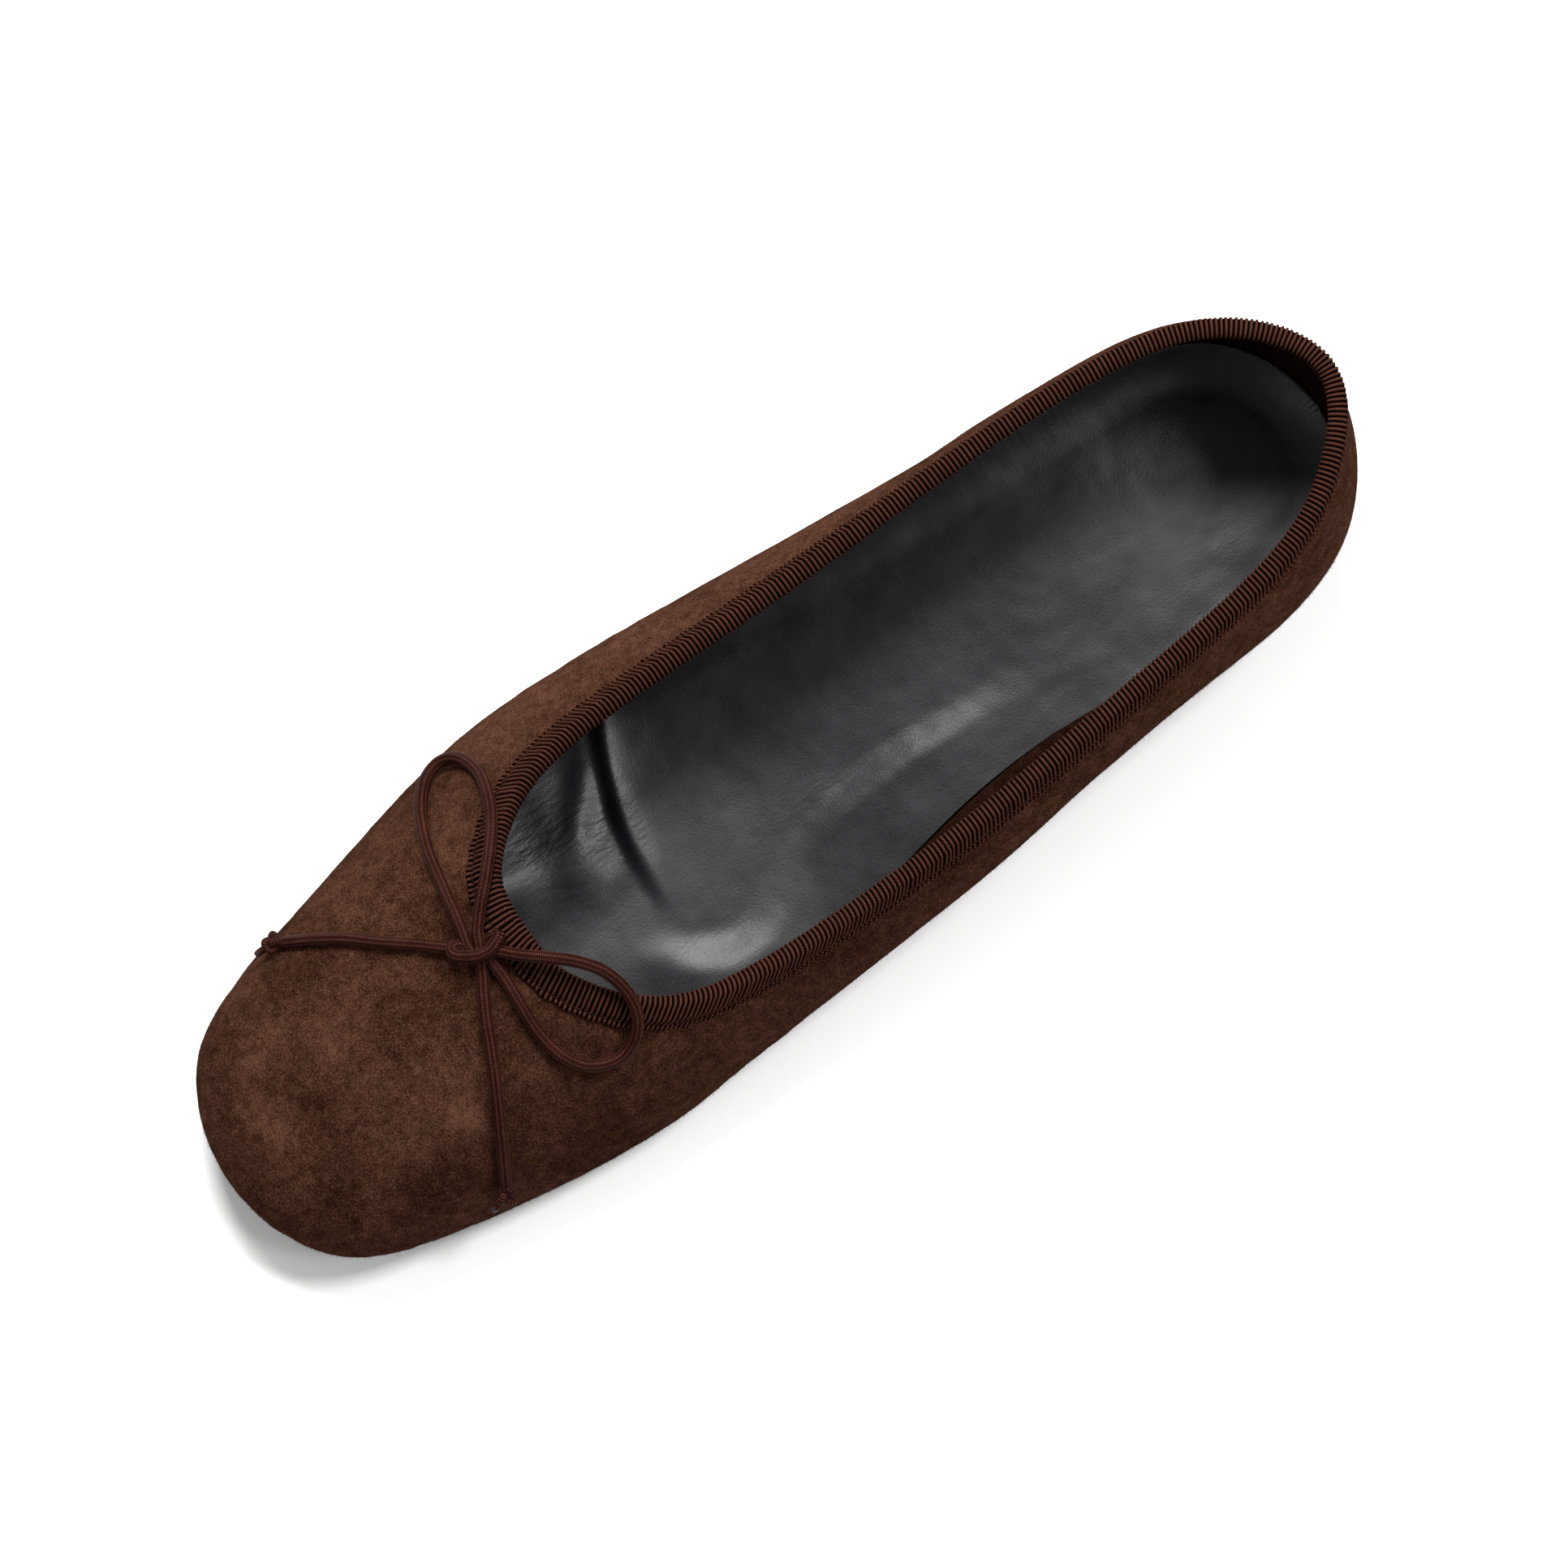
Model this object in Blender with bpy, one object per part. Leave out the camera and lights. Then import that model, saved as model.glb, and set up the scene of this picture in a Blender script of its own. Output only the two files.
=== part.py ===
"""Ballet flat, right shoe: hollow lasted upper, folded topline binding, insole, outsole, low heel and cord bow.

The shoe stands on the floor, z = 0. The toe points to -Y, the outer (lateral) side of the foot is -X and the
inner (medial) side is +X. Lengths are in metres. "from_toe" is the distance behind the tip of the toe.
"""

import math

import bmesh
import bpy
import numpy as np
from mathutils import Matrix, Vector
from mathutils.bvhtree import BVHTree

# Driving sizes
LENGTH = 0.250
BALL_WIDTH = 0.0838
WALL = 0.0015
GAP = 0.0003

# Heights above the floor
BACK_HEIGHT = 0.0595
SIDE_HEIGHT = 0.0350
THROAT_HEIGHT = 0.0405
TOE_SPRING = 0.0070
HEEL_HEIGHT = 0.0095

# Sole, heel and insole
SOLE_THICK = 0.0030
SOLE_INSET = 0.0006
SOLE_EDGE_ROUND = 0.0007
HEEL_LENGTH = 0.0520
HEEL_INSET = 0.0012
TOP_PIECE_THICK = 0.0025
INSOLE_THICK = 0.0032
INSOLE_CLEARANCE = 0.0007
INSOLE_RIM = 0.0012
INSOLE_RIM_WIDTH = 0.0100

# Topline binding
BINDING_LEG = 0.0052
BINDING_THICK = 0.0008

# Bow cord
CORD_DIAMETER = 0.0023
CORD_STEP = 2.2 * CORD_DIAMETER
KNOT_RADII = (0.0050, 0.0027, 0.0026)
STOP_RADII = (0.0021, 0.0026, 0.0021)

# Shares of LENGTH along the sole, from the toe
TREAD_START = 0.27
TREAD_END = 0.40
SHANK_END = 0.86

# Mesh counts
STATIONS_PER_ROW = 7
WALL_ROWS = 11
SOLE_SECTIONS = 36
SOLE_COLUMNS = 8
TINY = 1e-9

# One row for each station round the last, from the back of the heel along the outer side to the toe and
# back along the inner side. out_x, top_x and tuck are shares of half of BALL_WIDTH, out_y and top_y are
# shares of LENGTH from the toe.
#   out_x, out_y   the widest line of the upper, seen from above
#   tuck           how far the feather edge lies inside that line
#   belly          height of the widest line over the feather edge, share of SIDE_HEIGHT
#   top_x, top_y   the topline, seen from above
#   back, throat   how much of the rise from SIDE_HEIGHT to BACK_HEIGHT or THROAT_HEIGHT it has
#   reach          length of the straight lead into the topline, share of the way out to the widest line
#   drop           fall along that lead, share of SIDE_HEIGHT
COLUMNS = (
    "out_x", "out_y", "tuck", "belly", "top_x", "top_y", "back", "throat", "reach", "drop"
)
STATIONS = {
    "heel_back": (-0.045, 0.995, 0.075, 0.42, -0.030, 0.979, 1.00, 0.00, 0.30, 0.42),
    "heel_outer_corner": (-0.555, 0.959, 0.080, 0.42, -0.390, 0.945, 0.93, 0.00, 0.32, 0.36),
    "heel_outer": (-0.765, 0.872, 0.095, 0.40, -0.600, 0.868, 0.66, 0.00, 0.36, 0.30),
    "quarter_outer": (-0.830, 0.735, 0.165, 0.38, -0.655, 0.735, 0.34, 0.00, 0.36, 0.27),
    "waist_outer": (-0.925, 0.585, 0.175, 0.37, -0.640, 0.590, 0.12, 0.00, 0.36, 0.25),
    "joint_outer": (-1.005, 0.400, 0.090, 0.36, -0.632, 0.435, 0.02, 0.02, 0.34, 0.26),
    "vamp_outer": (-0.908, 0.262, 0.075, 0.35, -0.545, 0.342, 0.00, 0.30, 0.46, 0.22),
    "toe_outer": (-0.692, 0.130, 0.070, 0.34, -0.325, 0.291, 0.00, 0.78, 0.54, 0.25),
    "toe_outer_corner": (-0.455, 0.036, 0.070, 0.34, -0.155, 0.278, 0.00, 0.95, 0.55, 0.28),
    "toe_tip": (0.105, -0.001, 0.070, 0.34, -0.010, 0.2765, 0.00, 1.00, 0.56, 0.30),
    "toe_inner_corner": (0.672, 0.036, 0.070, 0.34, 0.140, 0.278, 0.00, 0.95, 0.55, 0.28),
    "toe_inner": (0.885, 0.130, 0.070, 0.34, 0.330, 0.289, 0.00, 0.78, 0.54, 0.25),
    "vamp_inner": (0.990, 0.262, 0.070, 0.36, 0.632, 0.341, 0.00, 0.30, 0.46, 0.22),
    "joint_inner": (0.978, 0.400, 0.150, 0.38, 0.735, 0.445, 0.04, 0.02, 0.40, 0.26),
    "waist_inner": (0.950, 0.590, 0.390, 0.42, 0.715, 0.595, 0.18, 0.00, 0.40, 0.28),
    "quarter_inner": (0.822, 0.735, 0.307, 0.42, 0.640, 0.735, 0.40, 0.00, 0.38, 0.28),
    "heel_inner": (0.700, 0.872, 0.120, 0.40, 0.545, 0.868, 0.68, 0.00, 0.36, 0.30),
    "heel_inner_corner": (0.450, 0.959, 0.080, 0.42, 0.320, 0.945, 0.93, 0.00, 0.32, 0.36),
}

# Routes of the bow cord, by hand: (x, from_toe, lowest height of its centre). It lies on the shoe
# wherever that is higher, and over the mouth of the shoe the last value carries it.
LATERAL_LOOP = (
    (-0.0078, 0.0598, 0.0),
    (-0.0125, 0.0609, 0.0),
    (-0.0220, 0.0635, 0.0),
    (-0.0297, 0.0667, 0.0),
    (-0.0352, 0.0708, 0.0),
    (-0.0366, 0.0755, 0.0),
    (-0.0335, 0.0790, 0.0),
    (-0.0274, 0.0800, 0.0),
    (-0.0206, 0.0777, 0.0),
    (-0.0138, 0.0735, 0.0),
    (-0.0080, 0.0690, 0.0),
    (-0.0052, 0.0655, 0.0),
)
MEDIAL_LOOP = (
    (0.0047, 0.0668, 0.0440),
    (0.0078, 0.0702, 0.0450),
    (0.0105, 0.0737, 0.0450),
    (0.0150, 0.0771, 0.0440),
    (0.0208, 0.0789, 0.0420),
    (0.0257, 0.0784, 0.0),
    (0.0286, 0.0759, 0.0),
    (0.0294, 0.0713, 0.0),
    (0.0271, 0.0665, 0.0),
    (0.0228, 0.0630, 0.0),
    (0.0167, 0.0620, 0.0),
    (0.0105, 0.0622, 0.0),
    (0.0066, 0.0624, 0.0),
)
LATERAL_END = (
    (-0.0052, 0.0552, 0.0),
    (-0.0079, 0.0512, 0.0),
    (-0.0124, 0.0467, 0.0),
    (-0.0170, 0.0421, 0.0),
    (-0.0209, 0.0373, 0.0),
    (-0.0246, 0.0330, 0.0),
)
MEDIAL_END = (
    (0.0034, 0.0572, 0.0),
    (0.0075, 0.0562, 0.0),
    (0.0143, 0.0528, 0.0),
    (0.0227, 0.0485, 0.0),
    (0.0307, 0.0445, 0.0),
    (0.0352, 0.0423, 0.0),
)
KNOT_AT = (-0.0010, 0.0604)
KNOT_LONG_WAY = (0.555, 0.832)

# Colours: (red, green, blue), roughness
SUEDE = ((0.075, 0.036, 0.021), 0.95)
RIBBON = ((0.095, 0.045, 0.022), 0.80)
BLACK_LEATHER = ((0.020, 0.020, 0.023), 0.42)
SOLE_LEATHER = ((0.115, 0.062, 0.036), 0.55)
HEEL_STACK = ((0.060, 0.030, 0.018), 0.50)
HEEL_RUBBER = ((0.012, 0.011, 0.011), 0.75)
CORD_BROWN = ((0.120, 0.048, 0.034), 0.70)


def clear_scene():
    """Removes whatever the file holds."""
    for obj in list(bpy.data.objects):
        bpy.data.objects.remove(obj)


def material(name, finish):
    """A plain Principled material."""
    colour, roughness = finish
    made = bpy.data.materials.new(name)
    made.use_nodes = True
    shader = made.node_tree.nodes["Principled BSDF"]
    shader.inputs["Base Color"].default_value = (*colour, 1.0)
    shader.inputs["Roughness"].default_value = roughness
    shader.inputs["Metallic"].default_value = 0.0
    return made


def add_object(name, points, faces, finish):
    """One closed mesh object, its doubled points welded and its faces pointing out."""
    mesh = bpy.data.meshes.new(name)
    mesh.from_pydata([tuple(map(float, p)) for p in points], [], faces)
    work = bmesh.new()
    work.from_mesh(mesh)
    bmesh.ops.remove_doubles(work, verts=work.verts, dist=1e-6)
    bmesh.ops.dissolve_degenerate(work, edges=work.edges, dist=1e-7)
    bmesh.ops.recalc_face_normals(work, faces=work.faces)
    work.to_mesh(mesh)
    work.free()
    mesh.shade_smooth()
    mesh.set_sharp_from_angle(angle=math.radians(40))
    obj = bpy.data.objects.new(name, mesh)
    obj.data.materials.append(material(name, finish))
    bpy.context.scene.collection.objects.link(obj)
    return obj


def closed_spline(values, per_row):
    """A smooth closed curve through the rows of values, with per_row points for each row."""
    count = len(values)
    system = np.zeros((count, count))
    for i in range(count):
        system[i, i] = 4.0
        system[i, (i - 1) % count] = 1.0
        system[i, (i + 1) % count] = 1.0
    slopes = np.linalg.solve(system, 3.0 * (np.roll(values, -1, axis=0) - np.roll(values, 1, axis=0)))
    t = (np.arange(per_row) / per_row)[None, :, None]
    start, end = values[:, None, :], np.roll(values, -1, axis=0)[:, None, :]
    leave, arrive = slopes[:, None, :], np.roll(slopes, -1, axis=0)[:, None, :]
    curve = (
        start * (2 * t**3 - 3 * t**2 + 1)
        + leave * (t**3 - 2 * t**2 + t)
        + end * (3 * t**2 - 2 * t**3)
        + arrive * (t**3 - t**2)
    )
    return curve.reshape(count * per_row, -1)


def sole_floor(from_toe):
    """Height of the outsole's underside: toe spring, flat tread, shank and heel seat."""
    share = np.asarray(from_toe) / LENGTH
    toe = np.clip((TREAD_START - share) / TREAD_START, 0, 1.2) ** 2 * TOE_SPRING
    shank = np.clip((share - TREAD_END) / (SHANK_END - TREAD_END), 0, 1)
    return toe + HEEL_HEIGHT * shank**2 * (3 - 2 * shank)


def plan(x, from_toe):
    """Place in the shoe's frame of a point given across the shoe and behind the toe."""
    return x, from_toe - LENGTH / 2


def last_rings(per_row):
    """The five control rings of the upper, from the feather edge to the topline, as (5, stations, 3)."""
    table = closed_spline(np.array(list(STATIONS.values()), float), per_row)
    row = dict(zip(COLUMNS, table.T))
    half = BALL_WIDTH / 2
    out = np.stack([row["out_x"] * half, row["out_y"] * LENGTH], axis=1)
    top = np.stack([row["top_x"] * half, row["top_y"] * LENGTH], axis=1)
    along = np.roll(out, -1, axis=0) - np.roll(out, 1, axis=0)
    inward = np.stack([-along[:, 1], along[:, 0]], axis=1)
    inward /= np.linalg.norm(inward, axis=1)[:, None]
    inward *= np.sign(((top - out) * inward).sum(1).mean())
    tuck = (row["tuck"] * half)[:, None]
    feather = out + inward * tuck
    under = out + inward * tuck * 0.30
    swell = out - inward * 0.045 * half
    lead = top + (out - top) * row["reach"][:, None]
    seat = sole_floor(feather[:, 1]) + SOLE_THICK + GAP
    belly = row["belly"] * SIDE_HEIGHT
    rim = (
        SIDE_HEIGHT
        + row["back"] * (BACK_HEIGHT - SIDE_HEIGHT)
        + row["throat"] * (THROAT_HEIGHT - SIDE_HEIGHT)
    )
    rings = (
        (feather, seat),
        (under - inward * 0.02 * half, seat + belly * 0.22),
        (swell, seat + belly * 1.30),
        (lead, rim - row["drop"] * SIDE_HEIGHT),
        (top, rim),
    )
    made = []
    for flat, height in rings:
        x, y = plan(flat[:, 0], flat[:, 1])
        made.append(np.stack([x, y, height], axis=1))
    return np.array(made)


def wall_points(rings, shares):
    """Points of the upper's outer face at those shares of the way up, as (stations, shares, 3)."""
    degree = len(rings) - 1
    shares = np.asarray(shares)
    if shares.ndim == 1:
        shares = np.repeat(shares[None, :], rings.shape[1], axis=0)
    total = 0
    for k, ring in enumerate(rings):
        weight = math.comb(degree, k) * shares**k * (1 - shares) ** (degree - k)
        total = total + weight[:, :, None] * ring[:, None, :]
    return total


def wall_frames(rings, shares):
    """Points, outward normals and upward tangents of the outer face."""
    step = 1e-3
    shares = np.asarray(shares, float)
    if shares.ndim == 1:
        shares = np.repeat(shares[None, :], rings.shape[1], axis=0)
    low = np.clip(shares - step, 0, 1)
    high = np.clip(shares + step, 0, 1)
    points = wall_points(rings, shares)
    up = wall_points(rings, high) - wall_points(rings, low)
    round_it = np.roll(points, -1, axis=0) - np.roll(points, 1, axis=0)
    normal = np.cross(round_it, up)
    normal /= np.linalg.norm(normal, axis=2)[:, :, None]
    centre = rings[0].mean(axis=0)
    outward = ((points[:, 0] - centre)[:, :2] * normal[:, 0, :2]).sum(1).mean()
    normal *= math.copysign(1.0, outward)
    up /= np.linalg.norm(up, axis=2)[:, :, None]
    return points, normal, up


def shares_below_top(rings, distances):
    """Shares of the way up at which the wall is that far, along its face, below the topline."""
    fine = np.linspace(0, 1, 121)
    points = wall_points(rings, fine)
    lengths = np.linalg.norm(np.diff(points, axis=1), axis=2)
    below = np.concatenate([np.cumsum(lengths[:, ::-1], axis=1)[:, ::-1], np.zeros((len(points), 1))], axis=1)
    return np.array([np.interp(distances, b[::-1], fine[::-1]) for b in below])


def ring_faces(stations, around):
    """Quads of a closed tube of rings: station i, point j of around."""
    faces = []
    for i in range(stations):
        n = (i + 1) % stations
        for j in range(around):
            k = (j + 1) % around
            faces.append((i * around + j, n * around + j, n * around + k, i * around + k))
    return faces


def build_upper(rings):
    """The upper: one hollow wall, open at the topline and underneath."""
    shares = np.linspace(0, 1, WALL_ROWS)
    points, normal, _ = wall_frames(rings, shares)
    level = normal.copy()
    level[:, 0, 2] = 0
    level[:, 0] /= np.linalg.norm(level[:, 0], axis=1)[:, None]
    inner = points - level * WALL
    section = np.concatenate([points, inner[:, ::-1]], axis=1)
    stations, around = section.shape[:2]
    return add_object("upper", section.reshape(-1, 3), ring_faces(stations, around), SUEDE)


def build_binding(rings):
    """Ribbon folded over the topline: an outer leg, a rounded fold and an inner leg."""
    legs = BINDING_LEG * np.array([1.0, 0.5, 0.0])
    points, normal, up = wall_frames(rings, shares_below_top(rings, legs))
    edge, out, rise = points[:, 2], normal[:, 2], up[:, 2]
    outer, inner = GAP + BINDING_THICK, -(WALL + GAP + BINDING_THICK)
    middle, half = (outer + inner) / 2, (outer - inner) / 2
    section = [points[:, k] + normal[:, k] * outer for k in range(3)]
    for turn in (0.25, 0.5, 0.75):
        across = middle + half * math.cos(math.pi * turn)
        over = (GAP + BINDING_THICK) * math.sin(math.pi * turn)
        section.append(edge + out * across + rise * over)
    section += [points[:, k] + normal[:, k] * inner for k in (2, 1, 0)]
    section += [points[:, k] - normal[:, k] * (WALL + GAP) for k in (0, 1)]
    section.append(edge - out * (WALL + GAP) + rise * GAP)
    section.append(edge + out * GAP + rise * GAP)
    section += [points[:, k] + normal[:, k] * GAP for k in (1, 0)]
    section = np.stack(section, axis=1)
    stations, around = section.shape[:2]
    return add_object("topline_binding", section.reshape(-1, 3), ring_faces(stations, around), RIBBON)


def sides_of(ring, inset):
    """Functions of from_toe that give the outer and inner edge of the feather line, drawn in by inset."""
    flat = ring[:, :2]
    along = np.roll(flat, -1, axis=0) - np.roll(flat, 1, axis=0)
    inward = np.stack([-along[:, 1], along[:, 0]], axis=1)
    inward /= np.linalg.norm(inward, axis=1)[:, None]
    inward *= np.sign(((flat.mean(axis=0) - flat) * inward).sum(1).mean())
    flat = flat + inward * inset
    toe, heel = int(flat[:, 1].argmin()), int(flat[:, 1].argmax())
    shifted = np.roll(flat, -heel, axis=0)
    tip = (toe - heel) % len(flat)
    outer = shifted[: tip + 1][::-1]
    inner = np.concatenate([shifted[tip:], shifted[:1]])
    y_outer, y_inner = outer[:, 1] + LENGTH / 2, inner[:, 1] + LENGTH / 2
    return (
        lambda u: np.interp(u, y_outer, outer[:, 0]),
        lambda u: np.interp(u, y_inner, inner[:, 0]),
        float(y_outer[0]),
        float(y_outer[-1]),
    )


def slab(name, sides, stretch, top, bottom, edge_round, finish, sections=SOLE_SECTIONS):
    """A plate cut to the sides between two distances from the toe. top and bottom give its heights
    from (from_toe, distance from the nearer side), and its lower edge is drawn in by edge_round."""
    outer, inner, toe, heel = sides
    first, last = max(stretch[0], toe), min(stretch[1], heel)
    turn = np.linspace(0, math.pi, sections)
    if first > toe:
        turn = np.linspace(math.pi / 2, math.pi, sections)
    turned = -np.cos(turn)
    turned = (turned - turned[0]) / (turned[-1] - turned[0])
    from_toe = first + (last - first) * turned
    from_toe[-1] -= TINY
    across = np.linspace(0, 1, SOLE_COLUMNS + 1)
    left, right = outer(from_toe)[:, None], inner(from_toe)[:, None]
    x = left + (right - left) * across
    edge = np.minimum(x - left, right - x)
    u = np.broadcast_to(from_toe[:, None], x.shape)
    middle = (first + last) / 2
    shrink_x = 1 - 2 * edge_round / np.maximum(right - left, 4 * edge_round)
    shrink_y = 1 - 2 * edge_round / (last - first)
    low_x = (left + right) / 2 + (x - (left + right) / 2) * shrink_x
    low_u = middle + (u - middle) * shrink_y
    upper_grid = np.stack([*plan(x, u), top(u, edge)], axis=2)
    lower_grid = np.stack([*plan(low_x, low_u), bottom(low_u, edge)], axis=2)
    section = np.concatenate([upper_grid, lower_grid[:, ::-1]], axis=1)
    count, around = section.shape[:2]
    faces = []
    for i in range(count - 1):
        for j in range(around):
            k = (j + 1) % around
            faces.append((i * around + j, (i + 1) * around + j, (i + 1) * around + k, i * around + k))
    columns = SOLE_COLUMNS + 1
    for end in (0, (count - 1) * around):
        for j in range(columns - 1):
            faces.append((end + j, end + j + 1, end + around - 2 - j, end + around - 1 - j))
    return add_object(name, section.reshape(-1, 3), faces, finish)


def build_sole(feather):
    """Outsole, heel block and the heel's top piece."""
    sides = sides_of(feather, SOLE_INSET)
    slab(
        "outsole",
        sides,
        (0.0, LENGTH),
        lambda u, v: sole_floor(u) + SOLE_THICK,
        lambda u, v: sole_floor(u),
        SOLE_EDGE_ROUND,
        SOLE_LEATHER,
    )
    heel_sides = sides_of(feather, SOLE_INSET + HEEL_INSET)
    breast = LENGTH - HEEL_LENGTH
    slab(
        "heel_block",
        heel_sides,
        (breast, LENGTH),
        lambda u, v: sole_floor(u) - GAP,
        lambda u, v: np.full_like(u, TOP_PIECE_THICK + GAP),
        SOLE_EDGE_ROUND,
        HEEL_STACK,
        sections=16,
    )
    slab(
        "heel_top_piece",
        sides_of(feather, SOLE_INSET + HEEL_INSET + SOLE_EDGE_ROUND),
        (breast + SOLE_EDGE_ROUND, LENGTH),
        lambda u, v: np.full_like(u, TOP_PIECE_THICK),
        lambda u, v: np.zeros_like(u),
        SOLE_EDGE_ROUND / 2,
        HEEL_RUBBER,
        sections=16,
    )


def build_insole(feather):
    """The padded insole, its rim a little raised where it meets the wall."""
    base = SOLE_THICK + GAP
    slab(
        "insole",
        sides_of(feather, WALL + INSOLE_CLEARANCE),
        (0.0, LENGTH),
        lambda u, v: sole_floor(u) + base + INSOLE_THICK
        + INSOLE_RIM * np.clip(1 - v / INSOLE_RIM_WIDTH, 0, 1) ** 2,
        lambda u, v: sole_floor(u) + base,
        SOLE_EDGE_ROUND,
        BLACK_LEATHER,
    )


def smooth_route(rows, count):
    """count points on a smooth open curve through the rows, evenly spread along it."""
    knots = np.array(rows, float)
    padded = np.concatenate([2 * knots[:1] - knots[1:2], knots, 2 * knots[-1:] - knots[-2:-1]])
    fine = []
    for i in range(1, len(padded) - 2):
        before, start, end, after = padded[i - 1 : i + 3]
        for t in np.linspace(0, 1, 12, endpoint=False):
            fine.append(
                0.5
                * (
                    2 * start
                    + (end - before) * t
                    + (2 * before - 5 * start + 4 * end - after) * t**2
                    + (3 * start - before - 3 * end + after) * t**3
                )
            )
    fine = np.array(fine + [knots[-1]])
    along = np.concatenate([[0], np.cumsum(np.linalg.norm(np.diff(fine[:, :2], axis=0), axis=1))])
    at = np.linspace(0, along[-1], count)
    return np.stack([np.interp(at, along, fine[:, k]) for k in range(3)], axis=1)


def surface_tree(objects):
    """One search tree of the faces of several objects."""
    points, faces = [], []
    for obj in objects:
        offset = len(points)
        points += [v.co.copy() for v in obj.data.vertices]
        faces += [tuple(offset + i for i in p.vertices) for p in obj.data.polygons]
    return BVHTree.FromPolygons(points, faces)


def rest_height(tree, x, y, lowest, clearance):
    """Height at which a ball lowered at (x, y) stops clearance away from the surfaces."""
    z = BACK_HEIGHT * 1.5
    for _ in range(80):
        _, _, _, away = tree.find_nearest(Vector((x, y, z)))
        if away - clearance < 1e-6 or z <= lowest:
            break
        z -= away - clearance
    return max(z, lowest)


def laid_route(rows, tree):
    """Centre points of a cord laid on the shoe along a route, about CORD_STEP apart."""
    plain = np.array(rows, float)
    length = np.linalg.norm(np.diff(plain[:, :2], axis=0), axis=1).sum()
    count = max(5, int(round(length * 1.15 / CORD_STEP)))
    clearance = CORD_DIAMETER / 2 + GAP
    points = []
    for x, from_toe, lowest in smooth_route(rows, count):
        x, y = plan(x, from_toe)
        points.append((x, y, rest_height(tree, x, y, lowest, clearance)))
    points = np.array(points)
    for i in list(range(count - 1)) * 2:
        for part_way in (0.25, 0.5, 0.75):
            x, y, z = points[i] * (1 - part_way) + points[i + 1] * part_way
            short = rest_height(tree, x, y, 0.0, clearance) - z
            points[i : i + 2, 2] += max(short, 0.0)
    for _ in range(3):
        bridge = (points[:-2, 2] + points[2:, 2]) / 2
        points[1:-1, 2] = np.maximum(points[1:-1, 2], bridge)
    return points


def build_cord(name, rows, tree, tip_lift=0.0):
    """A plain tube along a laid route, its tip raised to meet the middle of a stop knot."""
    points = laid_route(rows, tree)
    points[-1, 2] += tip_lift
    curve = bpy.data.curves.new(name, "CURVE")
    curve.dimensions = "3D"
    curve.bevel_depth = CORD_DIAMETER / 2
    curve.bevel_resolution = 2
    curve.use_fill_caps = True
    spline = curve.splines.new("POLY")
    spline.points.add(len(points) - 1)
    for point, place in zip(spline.points, points):
        point.co = (*place, 1.0)
    obj = bpy.data.objects.new(name, curve)
    obj.data.materials.append(material(name, CORD_BROWN))
    bpy.context.scene.collection.objects.link(obj)
    return points


def build_pebble(name, centre, radii, long_way, up):
    """A small egg-shaped solid that holds the place of a knot."""
    work = bmesh.new()
    bmesh.ops.create_uvsphere(work, u_segments=12, v_segments=8, radius=1.0)
    long_way = Vector(long_way).normalized()
    up = Vector(up).normalized()
    across = up.cross(long_way).normalized()
    up = long_way.cross(across)
    turn = Matrix((long_way, across, up)).transposed()
    for vert in work.verts:
        size = Vector((vert.co.x * radii[0], vert.co.y * radii[1], vert.co.z * radii[2]))
        vert.co = turn @ size + Vector(centre)
    mesh = bpy.data.meshes.new(name)
    work.to_mesh(mesh)
    work.free()
    mesh.shade_smooth()
    obj = bpy.data.objects.new(name, mesh)
    obj.data.materials.append(material(name, CORD_BROWN))
    bpy.context.scene.collection.objects.link(obj)
    return obj


def build_bow(upper, binding):
    """Knot, two loops, two ends and the stop knots at their tips."""
    tree = surface_tree([upper, binding])
    x, y = plan(*KNOT_AT)
    height = rest_height(tree, x, y, 0.0, KNOT_RADII[2] + GAP)
    ahead = rest_height(tree, x, y - KNOT_RADII[0], 0.0, KNOT_RADII[2] + GAP)
    slope = (height - ahead) / KNOT_RADII[0]
    long_way = (*KNOT_LONG_WAY, KNOT_LONG_WAY[1] * slope)
    build_pebble("bow_knot", (x, y, height + GAP), KNOT_RADII, long_way, (0, -slope, 1))
    build_cord("bow_loop_outer", LATERAL_LOOP, tree)
    build_cord("bow_loop_inner", MEDIAL_LOOP, tree)
    for side, rows in (("outer", LATERAL_END), ("inner", MEDIAL_END)):
        points = build_cord(f"bow_end_{side}", rows, tree, STOP_RADII[2] - CORD_DIAMETER / 2)
        tip = Vector(points[-1])
        way = (tip - Vector(points[-2])).normalized()
        centre = tip + way * (STOP_RADII[0] + GAP)
        near, _, _, away = tree.find_nearest(centre)
        out = (centre - near).normalized()
        centre += out * max(STOP_RADII[2] + GAP - away, 0.0)
        build_pebble(f"bow_stop_{side}", centre, STOP_RADII, way, out)


def main():
    """Builds the shoe."""
    clear_scene()
    rings = last_rings(STATIONS_PER_ROW)
    upper = build_upper(rings)
    binding = build_binding(rings)
    build_sole(rings[0])
    build_insole(rings[0])
    build_bow(upper, binding)


main()
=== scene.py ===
"""Looks of the right ballet flat: suede upper, ribbed topline, padded insole and cord bow."""

from __future__ import annotations

import logging
import math
from dataclasses import dataclass, field
from enum import Enum
from typing import Any, Callable, Iterable, Mapping, Sequence

import bpy
import numpy as np
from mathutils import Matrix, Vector, noise
from mathutils.bvhtree import BVHTree

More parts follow.
